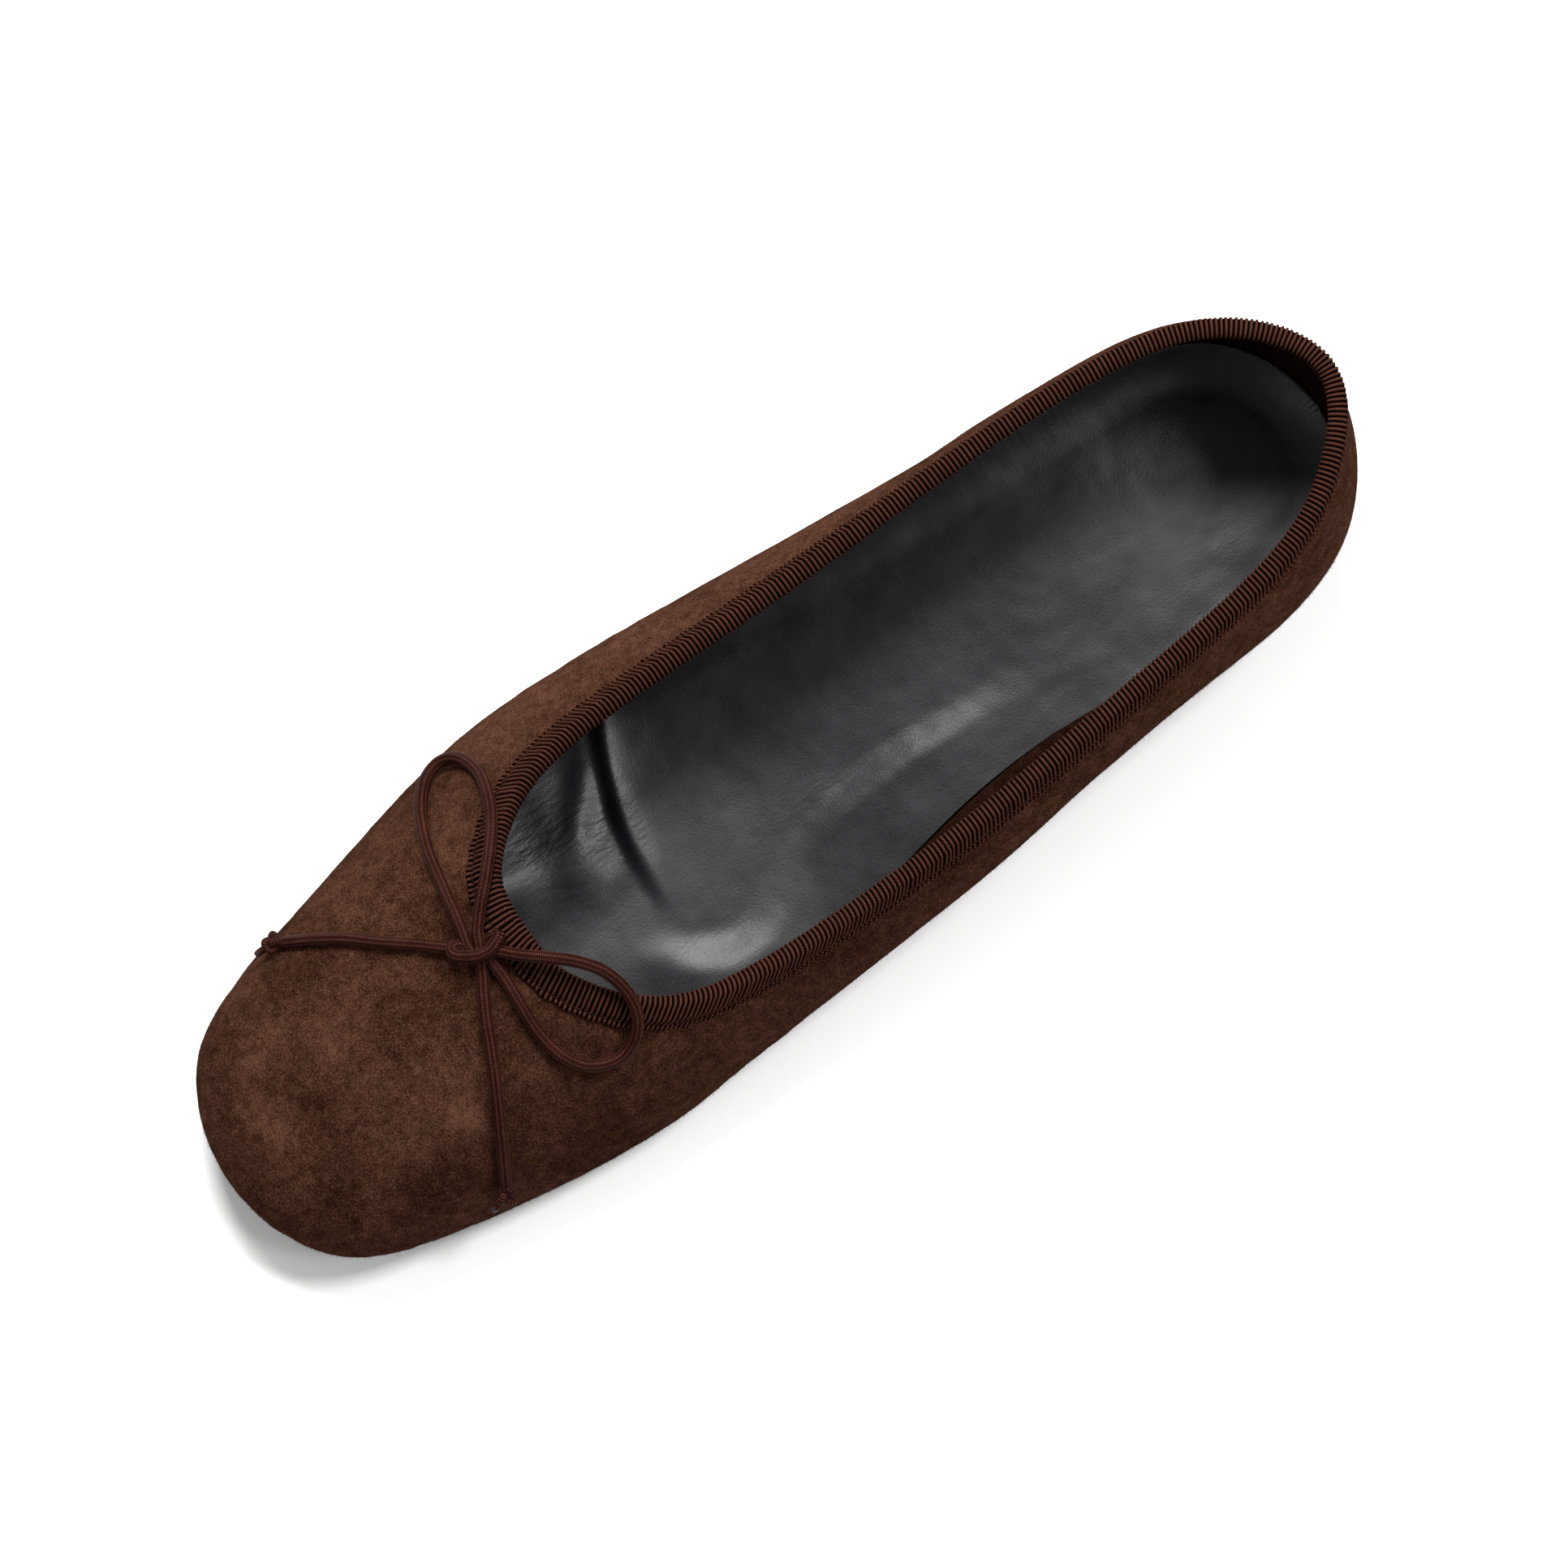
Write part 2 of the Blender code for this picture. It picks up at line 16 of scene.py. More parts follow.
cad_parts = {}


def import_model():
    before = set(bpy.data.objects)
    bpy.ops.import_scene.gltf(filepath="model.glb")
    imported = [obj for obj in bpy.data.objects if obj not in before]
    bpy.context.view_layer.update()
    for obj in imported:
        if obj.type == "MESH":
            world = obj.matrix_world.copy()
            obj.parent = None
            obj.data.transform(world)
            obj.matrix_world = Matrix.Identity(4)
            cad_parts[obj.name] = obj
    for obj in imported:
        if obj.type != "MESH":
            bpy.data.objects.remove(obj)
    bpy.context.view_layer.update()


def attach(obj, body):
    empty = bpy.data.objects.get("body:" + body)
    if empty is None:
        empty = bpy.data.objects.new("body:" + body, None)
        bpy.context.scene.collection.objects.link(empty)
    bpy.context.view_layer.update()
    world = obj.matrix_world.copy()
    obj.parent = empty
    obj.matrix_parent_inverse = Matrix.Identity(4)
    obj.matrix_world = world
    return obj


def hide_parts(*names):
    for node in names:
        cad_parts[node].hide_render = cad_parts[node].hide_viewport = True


Array = np.ndarray
Colour = tuple[float, float, float]
LOG = logging.getLogger("ballet_flat")
MM = 0.001


class Side(Enum):
    """Which side of the foot a piece is on."""

    OUTER = "outer"
    INNER = "inner"


# ------------------------------ shader maths


class Value:
    """A number that varies over a surface, with Python's operators as Math nodes."""

    def __init__(self, shader: Shader, socket: bpy.types.NodeSocket) -> None:
        """Keeps the shader and the socket that gives the number."""
        self.shader = shader
        self.socket = socket

    def math(self, operation: str, *others: Value | float, first: bool = True) -> Value:
        """One Math node.

        Args:
            operation: the Math node's operation.
            others: the other operands.
            first: whether this value is the first operand or the last.

        Returns:
            The node's result.
        """
        operands = [self, *others] if first else [*others, self]
        inputs = dict(enumerate(operands))
        node = self.shader.node("ShaderNodeMath", {"operation": operation}, inputs)
        return Value(self.shader, node.outputs[0])

    def __add__(self, other: Value | float) -> Value:
        """Sum."""
        return self.math("ADD", other)

    __radd__ = __add__

    def __sub__(self, other: Value | float) -> Value:
        """Difference."""
        return self.math("SUBTRACT", other)

    def __rsub__(self, other: float) -> Value:
        """Difference with this value taken away."""
        return self.math("SUBTRACT", other, first=False)

    def __mul__(self, other: Value | float) -> Value:
        """Product."""
        return self.math("MULTIPLY", other)

    __rmul__ = __mul__

    def __truediv__(self, other: Value | float) -> Value:
        """Quotient."""
        return self.math("DIVIDE", other)

    def sine(self) -> Value:
        """Sine of the value in radians."""
        return self.math("SINE")

    def clamp(self) -> Value:
        """The value held between 0 and 1."""
        return self.math("MAXIMUM", 0.0).math("MINIMUM", 1.0)

    def ramp(self, low: float, high: float) -> Value:
        """A smooth step from 0 at low to 1 at high.

        Args:
            low: where the step is 0.
            high: where the step is 1.

        Returns:
            The step.
        """
        settings = {"interpolation_type": "SMOOTHSTEP"}
        node = self.shader.node("ShaderNodeMapRange", settings, {0: self, 1: low, 2: high})
        return Value(self.shader, node.outputs[0])


class Shader:
    """A material's node tree round its Principled shader."""

    def __init__(self, name: str, **constants: float | Colour) -> None:
        """Starts a material.

        Args:
            name: the material's name.
            constants: values for the shader's sockets, with underscores for spaces.
        """
        self.material = bpy.data.materials.new(name)
        self.material.use_nodes = True
        self.tree = self.material.node_tree
        self.principled = self.tree.nodes["Principled BSDF"]
        for key, value in constants.items():
            self.feed(self.principled.inputs[key.replace("_", " ")], value)

    def feed(self, socket: bpy.types.NodeSocket, value: Any) -> None:
        """Links a value to a socket, or sets the socket.

        Args:
            socket: a socket of a node.
            value: a value, a link or a constant.
        """
        if isinstance(value, Value):
            self.tree.links.new(value.socket, socket)
        elif isinstance(value, bpy.types.NodeSocket):
            self.tree.links.new(value, socket)
        elif isinstance(value, tuple) and socket.type == "RGBA":
            socket.default_value = (*value, 1.0)
        else:
            socket.default_value = value

    def node(
        self,
        kind: str,
        settings: Mapping[str, Any] | None = None,
        inputs: Mapping[Any, Any] | None = None,
    ) -> bpy.types.Node:
        """Adds a node.

        Args:
            kind: the node's type.
            settings: its properties.
            inputs: values or links by the name or number of the socket.

        Returns:
            The node.
        """
        made = self.tree.nodes.new(kind)
        for key, value in (settings or {}).items():
            setattr(made, key, value)
        for key, value in (inputs or {}).items():
            self.feed(made.inputs[key], value)
        return made

    def place(self, stretch: Colour = (1.0, 1.0, 1.0)) -> bpy.types.NodeSocket:
        """The point in the shoe's frame, scaled along each axis.

        Args:
            stretch: the scale along each axis.

        Returns:
            The scaled point.
        """
        coordinates = self.node("ShaderNodeTexCoord").outputs["Object"]
        node = self.node("ShaderNodeVectorMath", {"operation": "MULTIPLY"}, {0: coordinates})
        node.inputs[1].default_value = stretch
        return node.outputs[0]

    def speckle(
        self,
        size: float,
        detail: float = 2.0,
        rough: float = 0.5,
        stretch: Colour = (1.0, 1.0, 1.0),
    ) -> Value:
        """Noise between 0 and 1 whose marks are about size metres across.

        Args:
            size: size of the marks.
            detail: how many finer layers.
            rough: strength of the finer layers.
            stretch: the scale along each axis.

        Returns:
            The noise.
        """
        place = self.place(stretch)
        inputs = {"Vector": place, "Scale": 1.0 / size, "Detail": detail, "Roughness": rough}
        return Value(self, self.node("ShaderNodeTexNoise", {}, inputs).outputs[0])

    def pebbles(self, size: float, soft: float) -> Value:
        """Distance to the middle of the nearest pebble, of pebbles of that size.

        Args:
            size: size of a pebble.
            soft: how softly they meet.

        Returns:
            The distance.
        """
        inputs = {"Vector": self.place(), "Scale": 1.0 / size, "Smoothness": soft}
        node = self.node("ShaderNodeTexVoronoi", {"feature": "SMOOTH_F1"}, inputs)
        return Value(self, node.outputs[0])

    def painted(self, name: str) -> Value:
        """A number painted on the mesh's points."""
        node = self.node("ShaderNodeAttribute", {"attribute_name": name})
        return Value(self, node.outputs["Fac"])

    def blend(self, factor: Value | float, low: Any, high: Any) -> bpy.types.NodeSocket:
        """A colour between low and high.

        Args:
            factor: share of high.
            low: colour at 0.
            high: colour at 1.

        Returns:
            The colour.
        """
        node = self.node("ShaderNodeMix", {"data_type": "RGBA"}, {0: factor})
        self.feed(node.inputs[6], low)
        self.feed(node.inputs[7], high)
        return node.outputs[2]

    def emboss(self, height: Value, distance: float, strength: float = 1.0) -> bpy.types.NodeSocket:
        """A bump whose height of 1 stands for that distance in metres."""
        inputs = {"Height": height, "Distance": distance, "Strength": strength}
        return self.node("ShaderNodeBump", {}, inputs).outputs[0]

    def finish(self, colour: Any, roughness: Any, normal: Any = None) -> bpy.types.Material:
        """Feeds the shader and returns the material.

        Args:
            colour: base colour.
            roughness: roughness.
            normal: normal, or none.

        Returns:
            The material.
        """
        for key, value in (("Base Color", colour), ("Roughness", roughness), ("Normal", normal)):
            if value is not None:
                self.feed(self.principled.inputs[key], value)
        return self.material


# ------------------------------ finishes


@dataclass(frozen=True)
class Suede:
    """Brushed suede: a short nap that lies light or dark.

    The four marks in the nap are grain, fine (finer than the grain), clump and patch. Each has a
    size, and each of the strengths says how much such a mark, or the painted nap with its painted
    light and shade, shifts the tone.
    """

    name: str = "suede_nap"
    middle: Colour = (0.0266, 0.0101, 0.0055)
    grain: float = 0.36 * MM
    fine_share: float = 0.42
    clump: float = 2.4 * MM
    patch: float = 12.0 * MM
    grain_strength: float = 2.0
    fine_strength: float = 1.9
    clump_strength: float = 0.90
    patch_strength: float = 0.50
    nap_and_light_strength: float = 0.42
    deepest: float = 0.15
    palest: float = 2.9
    roughness: float = 0.92
    relief: float = 0.20 * MM
    sheen: float = 0.015

    def shade(self, share: float) -> Colour:
        """The middle colour made that many times as light: greyer when pale, redder when deep."""
        grey = (share - 1.0) * (0.05 if share > 1 else 0.10)
        return tuple(c * share * (1 + grey * k) for c, k in zip(self.middle, (0.0, 2.0, 4.0)))

    def material(self) -> bpy.types.Material:
        """The material, which reads the painted nap, with its painted light and shade, where the
        mesh has it.

        Returns:
            The material.
        """
        shader = Shader(
            self.name,
            Specular_IOR_Level=0.0,
            Sheen_Weight=self.sheen,
            Sheen_Roughness=0.6,
            Sheen_Tint=(0.62, 0.36, 0.26),
        )
        grain = shader.speckle(self.grain, 3.0, 0.75)
        fine = shader.speckle(self.grain * self.fine_share, 2.0, 0.7)
        clump = shader.speckle(self.clump, 4.0, 0.65)
        patch = shader.speckle(self.patch, 3.0, 0.55)
        lie_and_light = (patch - 0.5) * self.patch_strength + (clump - 0.5) * self.clump_strength
        # The painted nap also holds painted light on the outer side and painted shade on the inner
        # side and the toe's rim.
        lie_and_light = lie_and_light + shader.painted("nap_and_light") * self.nap_and_light_strength
        tone = lie_and_light + (grain - 0.5) * self.grain_strength + (fine - 0.5) * self.fine_strength
        deep, middle, pale = self.shade(self.deepest), self.shade(1.0), self.shade(self.palest)
        dark = shader.blend((tone * 2.0 + 1.0).clamp(), deep, middle)
        colour = shader.blend((tone * 2.0).clamp(), dark, pale)
        height = grain * 0.7 + clump * 0.5 + fine * 0.4
        return shader.finish(colour, self.roughness, shader.emboss(height, self.relief, 0.7))


@dataclass(frozen=True)
class Leather:
    """Soft grained leather. Uneven is how much its roughness varies over its clouds."""

    name: str
    deep: Colour
    pale: Colour
    roughness: float = 0.40
    gloss: float = 0.5
    pebble: float = 0.42 * MM
    relief: float = 0.017 * MM
    fold: float = 1.5 * MM
    fold_stretch: Colour = (1.5, 0.40, 1.0)
    fold_depth: float = 9.0
    uneven: float = 0.16

    def material(self) -> bpy.types.Material:
        """The material, which creases more where the mesh is painted with wrinkles.

        Returns:
            The material.
        """
        shader = Shader(self.name, Specular_IOR_Level=self.gloss)
        pebbles = shader.pebbles(self.pebble, 0.7)
        cloud = shader.speckle(9.0 * MM, 3.0, 0.6)
        swell = shader.speckle(1.8 * MM, 3.0, 0.6)
        fine = shader.speckle(0.30 * MM, 2.0, 0.6)
        folds = shader.speckle(self.fold, 2.0, 0.5, self.fold_stretch)
        mottle = cloud * 0.4 + fine * 0.6
        colour = shader.blend(mottle.ramp(0.32, 0.68), self.deep, self.pale)
        roughness = self.roughness + (cloud - 0.5) * self.uneven + (fine - 0.5) * self.uneven
        folded = folds * (shader.painted("wrinkle") * self.fold_depth + 0.3)
        height = (1.0 - pebbles) * 0.9 + fine * 0.5 + swell * 0.8 + folded
        return shader.finish(colour, roughness, shader.emboss(height, self.relief))


@dataclass(frozen=True)
class Yarn:
    """Thread-covered goods: the mesh is painted with how high a thread stands."""

    name: str
    # The gap colour is painted shade between the threads, and the last colour a painted highlight
    # on their crests.
    gap: Colour
    thread: Colour
    painted_highlight: Colour
    roughness: float = 0.62
    gloss: float = 0.0
    ply: float = 0.36 * MM
    ply_depth: float = 0.0
    ply_twist: float = 2.4

    def material(self) -> bpy.types.Material:
        """The material. The gaps between threads get painted shade, and the crests a painted
        highlight.

        Returns:
            The material.
        """
        shader = Shader(self.name, Specular_IOR_Level=self.gloss)
        crest = shader.painted("crest")
        fleck = shader.speckle(0.22 * MM, 2.0, 0.7)
        cloud = shader.speckle(4.0 * MM, 2.0, 0.5)
        tone = crest + (fleck - 0.5) * 0.7 + (cloud - 0.5) * 0.25
        normal = None
        if self.ply_depth:
            turns = shader.painted("across") * (2 * math.pi / self.ply)
            turns = turns + shader.painted("lean") * self.ply_twist
            wave = turns.sine() * 0.5 + 0.5
            # The twist's grooves are painted darker, as shade.
            tone = tone * (wave * 0.75 + 0.42)
            normal = shader.emboss(wave * crest, self.ply_depth, 0.9)
        colour = shader.blend(tone.ramp(0.12, 0.62), self.gap, self.thread)
        colour = shader.blend(tone.ramp(0.62, 1.2), colour, self.painted_highlight)
        return shader.finish(colour, self.roughness, normal)


@dataclass(frozen=True)
class Stack:
    """Heel leather in thin lifts, or one plain moulded piece."""

    name: str
    deep: Colour
    pale: Colour
    roughness: float
    lift: float = 0.0
    gloss: float = 0.16
    relief: float = 0.04 * MM

    def material(self) -> bpy.types.Material:
        """The material, in layers where a lift's thickness is given.

        Returns:
            The material.
        """
        shader = Shader(self.name, Specular_IOR_Level=self.gloss)
        cloud = shader.speckle(3.0 * MM, 4.0, 0.6, (1.0, 1.0, 3.0))
        fine = shader.speckle(0.3 * MM, 2.0, 0.7)
        tone = cloud * 0.6 + fine * 0.4
        if self.lift:
            layers = shader.speckle(self.lift, 1.0, 0.4, (0.02, 0.02, 1.0))
            tone = tone * 0.5 + layers * 0.5
        colour = shader.blend(tone.ramp(0.3, 0.7), self.deep, self.pale)
        roughness = self.roughness + (fine - 0.5) * 0.15
        height = fine * 0.6 + cloud * 0.4
        return shader.finish(colour, roughness, shader.emboss(height, self.relief))


SUEDE = Suede()
QUARTER_LINING = Suede("quarter_lining_suede", (0.0078, 0.0027, 0.0015), 0.30 * MM)
BLACK_NAPPA = Leather("black_nappa", (0.0034, 0.0034, 0.0040), (0.0090, 0.0089, 0.0102), gloss=0.25)
SOLE_LEATHER = Leather(
    "sole_leather", (0.020, 0.0095, 0.0058), (0.042, 0.021, 0.013), roughness=0.58, gloss=0.2
)
# Each yarn's darkest colour is painted shade between its threads, and its lightest a painted
# highlight on their crests.
RIBBON = Yarn(
    "ribbed_ribbon",
    gap=(0.0016, 0.0008, 0.0006),
    thread=(0.0280, 0.0098, 0.0064),
    painted_highlight=(0.1050, 0.0440, 0.0280),
    ply_depth=0.10 * MM,
)
CORD_COVER = Yarn(
    "cord_cover",
    gap=(0.0022, 0.0007, 0.0005),
    thread=(0.0310, 0.0084, 0.0053),
    painted_highlight=(0.1750, 0.0660, 0.0450),
    roughness=0.50,
    gloss=0.02,
)
STITCH = Yarn(
    "stitch_thread",
    gap=(0.0020, 0.0008, 0.0005),
    thread=(0.0150, 0.0058, 0.0036),
    painted_highlight=(0.0400, 0.0170, 0.0110),
)
HEEL_LIFTS = Stack("heel_lifts", (0.014, 0.006, 0.004), (0.034, 0.015, 0.009), 0.50, 1.6 * MM)
HEEL_RUBBER = Stack("heel_rubber", (0.010, 0.009, 0.009), (0.020, 0.019, 0.019), 0.72)
SEALED_TIP = Stack("sealed_cord_tip", (0.008, 0.005, 0.005), (0.020, 0.014, 0.013), 0.30)


# ------------------------------ mesh helpers


@dataclass
class Mesh:
    """Points and quads or triangles, with numbers painted on the points."""

    points: Array
    faces: Array
    paint: dict[str, Array] = field(default_factory=dict)
    choice: Array | None = None

    def outward(self) -> Mesh:
        """The mesh with its faces turned so that they enclose a positive volume.

        Returns:
            The mesh itself.
        """
        a, b, c = (self.points[self.faces[:, k]] for k in range(3))
        volume = np.einsum("ij,ij->i", a, np.cross(b, c)).sum()
        if self.faces.shape[1] == 4:
            d = self.points[self.faces[:, 3]]
            volume += np.einsum("ij,ij->i", a, np.cross(c, d)).sum()
        if volume < 0:
            self.faces = self.faces[:, ::-1]
        return self


def grid_faces(
    rows: int, columns: int, wrap_rows: bool = False, wrap_columns: bool = False
) -> Array:
    """Quads of a grid of points.

    Args:
        rows: number of rows.
        columns: number of points in a row.
        wrap_rows: whether the last row joins the first.
        wrap_columns: whether the last point of a row joins its first.

    Returns:
        Four point numbers a quad.
    """
    i, j = np.meshgrid(
        np.arange(rows if wrap_rows else rows - 1),
        np.arange(columns if wrap_columns else columns - 1),
        indexing="ij",
    )
    n, k = (i + 1) % rows, (j + 1) % columns
    corners = (i * columns + j, n * columns + j, n * columns + k, i * columns + k)
    return np.stack([c.ravel() for c in corners], axis=1)


def add_piece(
    name: str,
    mesh: Mesh,
    materials: Sequence[bpy.types.Material],
    replaces: Iterable[str] = (),
    sharp: float | None = None,
) -> bpy.types.Object:
    """Makes an object of a mesh and rides it on the shoe.

    Args:
        name: the piece's name.
        mesh: its points and faces.
        materials: its materials, picked by the mesh's choice.
        replaces: CAD nodes that it stands for.
        sharp: angle in degrees above which edges are sharp, or none.

    Returns:
        The object.
    """
    data = bpy.data.meshes.new(name)
    data.from_pydata(mesh.points.tolist(), [], mesh.faces.tolist())
    data.shade_smooth()
    if sharp is not None:
        data.set_sharp_from_angle(angle=math.radians(sharp))
    for key, values in mesh.paint.items():
        layer = data.attributes.new(key, "FLOAT", "POINT")
        layer.data.foreach_set("value", np.asarray(values, np.float32))
    for material in materials:
        data.materials.append(material)
    if mesh.choice is not None:
        data.polygons.foreach_set("material_index", mesh.choice.astype(np.int32))
    made = bpy.data.objects.new(name, data)
    bpy.context.scene.collection.objects.link(made)
    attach(made, "root")
    for node in replaces:
        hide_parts(node)
    return made


def search_tree(objects: Sequence[bpy.types.Object]) -> BVHTree:
    """One search tree of the faces of several objects.

    Args:
        objects: what is searched.

    Returns:
        The tree.
    """
    points: list[Vector] = []
    faces: list[tuple[int, ...]] = []
    for item in objects:
        start = len(points)
        points += [v.co.copy() for v in item.data.vertices]
        faces += [tuple(start + i for i in p.vertices) for p in item.data.polygons]
    return BVHTree.FromPolygons(points, faces)


def smooth_step(values: Array, low: float, high: float) -> Array:
    """A smooth step from 0 at low to 1 at high."""
    t = np.clip((values - low) / (high - low), 0.0, 1.0)
    return t * t * (3 - 2 * t)


def hill(x: Array, y: Array, at: tuple[float, float], reach: tuple[float, float]) -> Array:
    """A soft round hill of height 1."""
    return np.exp(-(((x - at[0]) / reach[0]) ** 2) - ((y - at[1]) / reach[1]) ** 2)


def hills(x: Array, y: Array, rows: Iterable[Sequence[float]]) -> Array:
    """The sum of soft hills, whose rows give x, y, reach along x, reach along y and height."""
    return sum(hill(x, y, (at_x, at_y), (rx, ry)) * rise for at_x, at_y, rx, ry, rise in rows)


def ridge(
    x: Array, y: Array, start: tuple[float, float], end: tuple[float, float], width: float
) -> Array:
    """A soft ridge of height 1 along a line, which fades out past its ends.

    Args:
        x: places along x.
        y: places along y.
        start: one end.
        end: the other end.
        width: its reach sideways.

    Returns:
        A height for each place.
    """
    along = np.array([end[0] - start[0], end[1] - start[1]])
    length = float(np.hypot(*along))
    along /= length
    forward = (x - start[0]) * along[0] + (y - start[1]) * along[1]
    beside = (y - start[1]) * along[0] - (x - start[0]) * along[1]
    past = np.maximum(np.maximum(-forward, forward - length), 0.0)
    return np.exp(-((beside / width) ** 2) - (past / (0.25 * length + width)) ** 2)


def unit(vectors: Array) -> Array:
    """The same directions, each of length 1."""
    return vectors / np.linalg.norm(vectors, axis=-1)[..., None]


def way_along(points: Array, closed: bool = False) -> Array:
    """Distance along a path to each of its points, and back to the first if it is closed.

    Args:
        points: the path's points.
        closed: whether the last joins the first.

    Returns:
        The distances, from 0.
    """
    steps = np.diff(points, axis=0)
    if closed:
        steps = np.roll(points, -1, axis=0) - points
    return np.concatenate([[0.0], np.cumsum(np.linalg.norm(steps, axis=1))])


def inward_of(outline: Array, towards: Array) -> Array:
    """Directions square to a closed outline in plan, on the side where towards lies.

    Args:
        outline: points in plan.
        towards: a point, or one for each of them.

    Returns:
        The directions.
    """
    along = np.roll(outline, -1, axis=0) - np.roll(outline, 1, axis=0)
    inward = unit(np.stack([-along[:, 1], along[:, 0]], axis=1))
    return inward * np.sign(((towards - outline) * inward).sum(1).mean())


def ripple(points: Array, size: float, seed: float) -> Array:
    """Smooth noise between -1 and 1 at each point, with marks of that size."""
    offset = Vector((seed, seed * 1.7, seed * 0.3))
    return np.array([noise.noise(Vector(p) / size + offset) for p in points.tolist()])


# ------------------------------ the last


@dataclass(frozen=True)
class Last:
    """The form that the upper is pulled over, in the shoe's driving sizes."""

    length: float = 0.250
    ball_width: float = 0.0838
    wall: float = 0.0015
    gap: float = 0.0003
    back_height: float = 0.0595
    side_height: float = 0.0350
    throat_height: float = 0.0405
    toe_spring: float = 0.0070
    heel_height: float = 0.0095
    sole_thick: float = 0.0030
    tread: tuple[float, float] = (0.27, 0.40)
    shank_end: float = 0.86
    # The wall's second ring keeps a share of the tuck and stands out a little, the third bulges.
    # Both are shares of the tuck, of half the ball's width and of the belly's height.
    tuck_kept: float = 0.30
    foot_out: float = 0.02
    foot_rise: float = 0.22
    bulge_out: float = 0.045
    bulge_rise: float = 1.30
    columns: tuple[str, ...] = (
        "out_x", "out_y", "tuck", "belly", "top_x", "top_y", "back", "throat", "reach", "drop",
    )
    stations: tuple[tuple[float, ...], ...] = (
        (-0.045, 0.995, 0.075, 0.42, -0.030, 0.979, 1.00, 0.00, 0.30, 0.42),
        (-0.555, 0.959, 0.080, 0.42, -0.390, 0.945, 0.93, 0.00, 0.32, 0.36),
        (-0.765, 0.872, 0.095, 0.40, -0.600, 0.868, 0.66, 0.00, 0.36, 0.30),
        (-0.830, 0.735, 0.165, 0.38, -0.655, 0.735, 0.34, 0.00, 0.36, 0.27),
        (-0.925, 0.585, 0.175, 0.37, -0.640, 0.590, 0.12, 0.00, 0.36, 0.25),
        (-1.005, 0.400, 0.090, 0.36, -0.632, 0.435, 0.02, 0.02, 0.34, 0.26),
        (-0.908, 0.262, 0.075, 0.35, -0.545, 0.342, 0.00, 0.30, 0.46, 0.22),
        (-0.692, 0.130, 0.070, 0.34, -0.325, 0.291, 0.00, 0.78, 0.54, 0.25),
        (-0.455, 0.036, 0.070, 0.34, -0.155, 0.278, 0.00, 0.95, 0.55, 0.28),
        (0.105, -0.001, 0.070, 0.34, -0.010, 0.2765, 0.00, 1.00, 0.56, 0.30),
        (0.672, 0.036, 0.070, 0.34, 0.140, 0.278, 0.00, 0.95, 0.55, 0.28),
        (0.885, 0.130, 0.070, 0.34, 0.330, 0.289, 0.00, 0.78, 0.54, 0.25),
        (0.990, 0.262, 0.070, 0.36, 0.632, 0.341, 0.00, 0.30, 0.46, 0.22),
        (0.978, 0.400, 0.150, 0.38, 0.735, 0.445, 0.04, 0.02, 0.40, 0.26),
        (0.950, 0.590, 0.390, 0.42, 0.715, 0.595, 0.18, 0.00, 0.40, 0.28),
        (0.822, 0.735, 0.307, 0.42, 0.640, 0.735, 0.40, 0.00, 0.38, 0.28),
        (0.700, 0.872, 0.120, 0.40, 0.545, 0.868, 0.68, 0.00, 0.36, 0.30),
        (0.450, 0.959, 0.080, 0.42, 0.320, 0.945, 0.93, 0.00, 0.32, 0.36),
    )

    def table(self, count: int) -> Array:
        """The stations read at count places along a smooth closed curve through the rows.

        Args:
            count: number of places.

        Returns:
            A row of the table for each place.
        """
        values = np.array(self.stations)
        rows = len(values)
        one = np.eye(rows)
        system = one * 4 + np.roll(one, 1, axis=1) + np.roll(one, -1, axis=1)
        rises = np.roll(values, -1, axis=0) - np.roll(values, 1, axis=0)
        slopes = np.linalg.solve(system, 3 * rises)
        at = np.arange(count) / count * rows
        i = at.astype(int)
        n, t = (i + 1) % rows, (at - i)[:, None]
        return (
            values[i] * (2 * t**3 - 3 * t**2 + 1)
            + slopes[i] * (t**3 - 2 * t**2 + t)
            + values[n] * (3 * t**2 - 2 * t**3)
            + slopes[n] * (t**3 - t**2)
        )

    def under(self, from_toe: Array) -> Array:
        """Height of the outsole's underside.

        Args:
            from_toe: distances from the toe.

        Returns:
            Heights over the floor.
        """
        share = np.asarray(from_toe) / self.length
        toe = np.clip((self.tread[0] - share) / self.tread[0], 0, 1.2) ** 2 * self.toe_spring
        shank = np.clip((share - self.tread[1]) / (self.shank_end - self.tread[1]), 0, 1)
        return toe + self.heel_height * shank**2 * (3 - 2 * shank)

    def rings(self, count: int) -> Array:
        """The wall's five control rings, from feather edge to topline, at count stations.

        Args:
            count: number of stations.

        Returns:
            Five rings of count points.
        """
        row = dict(zip(self.columns, self.table(count).T))
        half = self.ball_width / 2
        out = np.stack([row["out_x"] * half, row["out_y"] * self.length], axis=1)
        top = np.stack([row["top_x"] * half, row["top_y"] * self.length], axis=1)
        inward = inward_of(out, top)
        tuck = (row["tuck"] * half)[:, None]
        feather = out + inward * tuck
        seat = self.under(feather[:, 1]) + self.sole_thick + self.gap
        belly = row["belly"] * self.side_height
        rim = (
            self.side_height
            + row["back"] * (self.back_height - self.side_height)
            + row["throat"] * (self.throat_height - self.side_height)
        )
        rings = (
            (feather, seat),
            (
                out + inward * (tuck * self.tuck_kept - self.foot_out * half),
                seat + belly * self.foot_rise,
            ),
            (out - inward * self.bulge_out * half, seat + belly * self.bulge_rise),
            (top + (out - top) * row["reach"][:, None], rim - row["drop"] * self.side_height),
            (top, rim),
        )
        middle = np.array([0.0, self.length / 2])
        return np.array([np.column_stack([flat - middle, level]) for flat, level in rings])

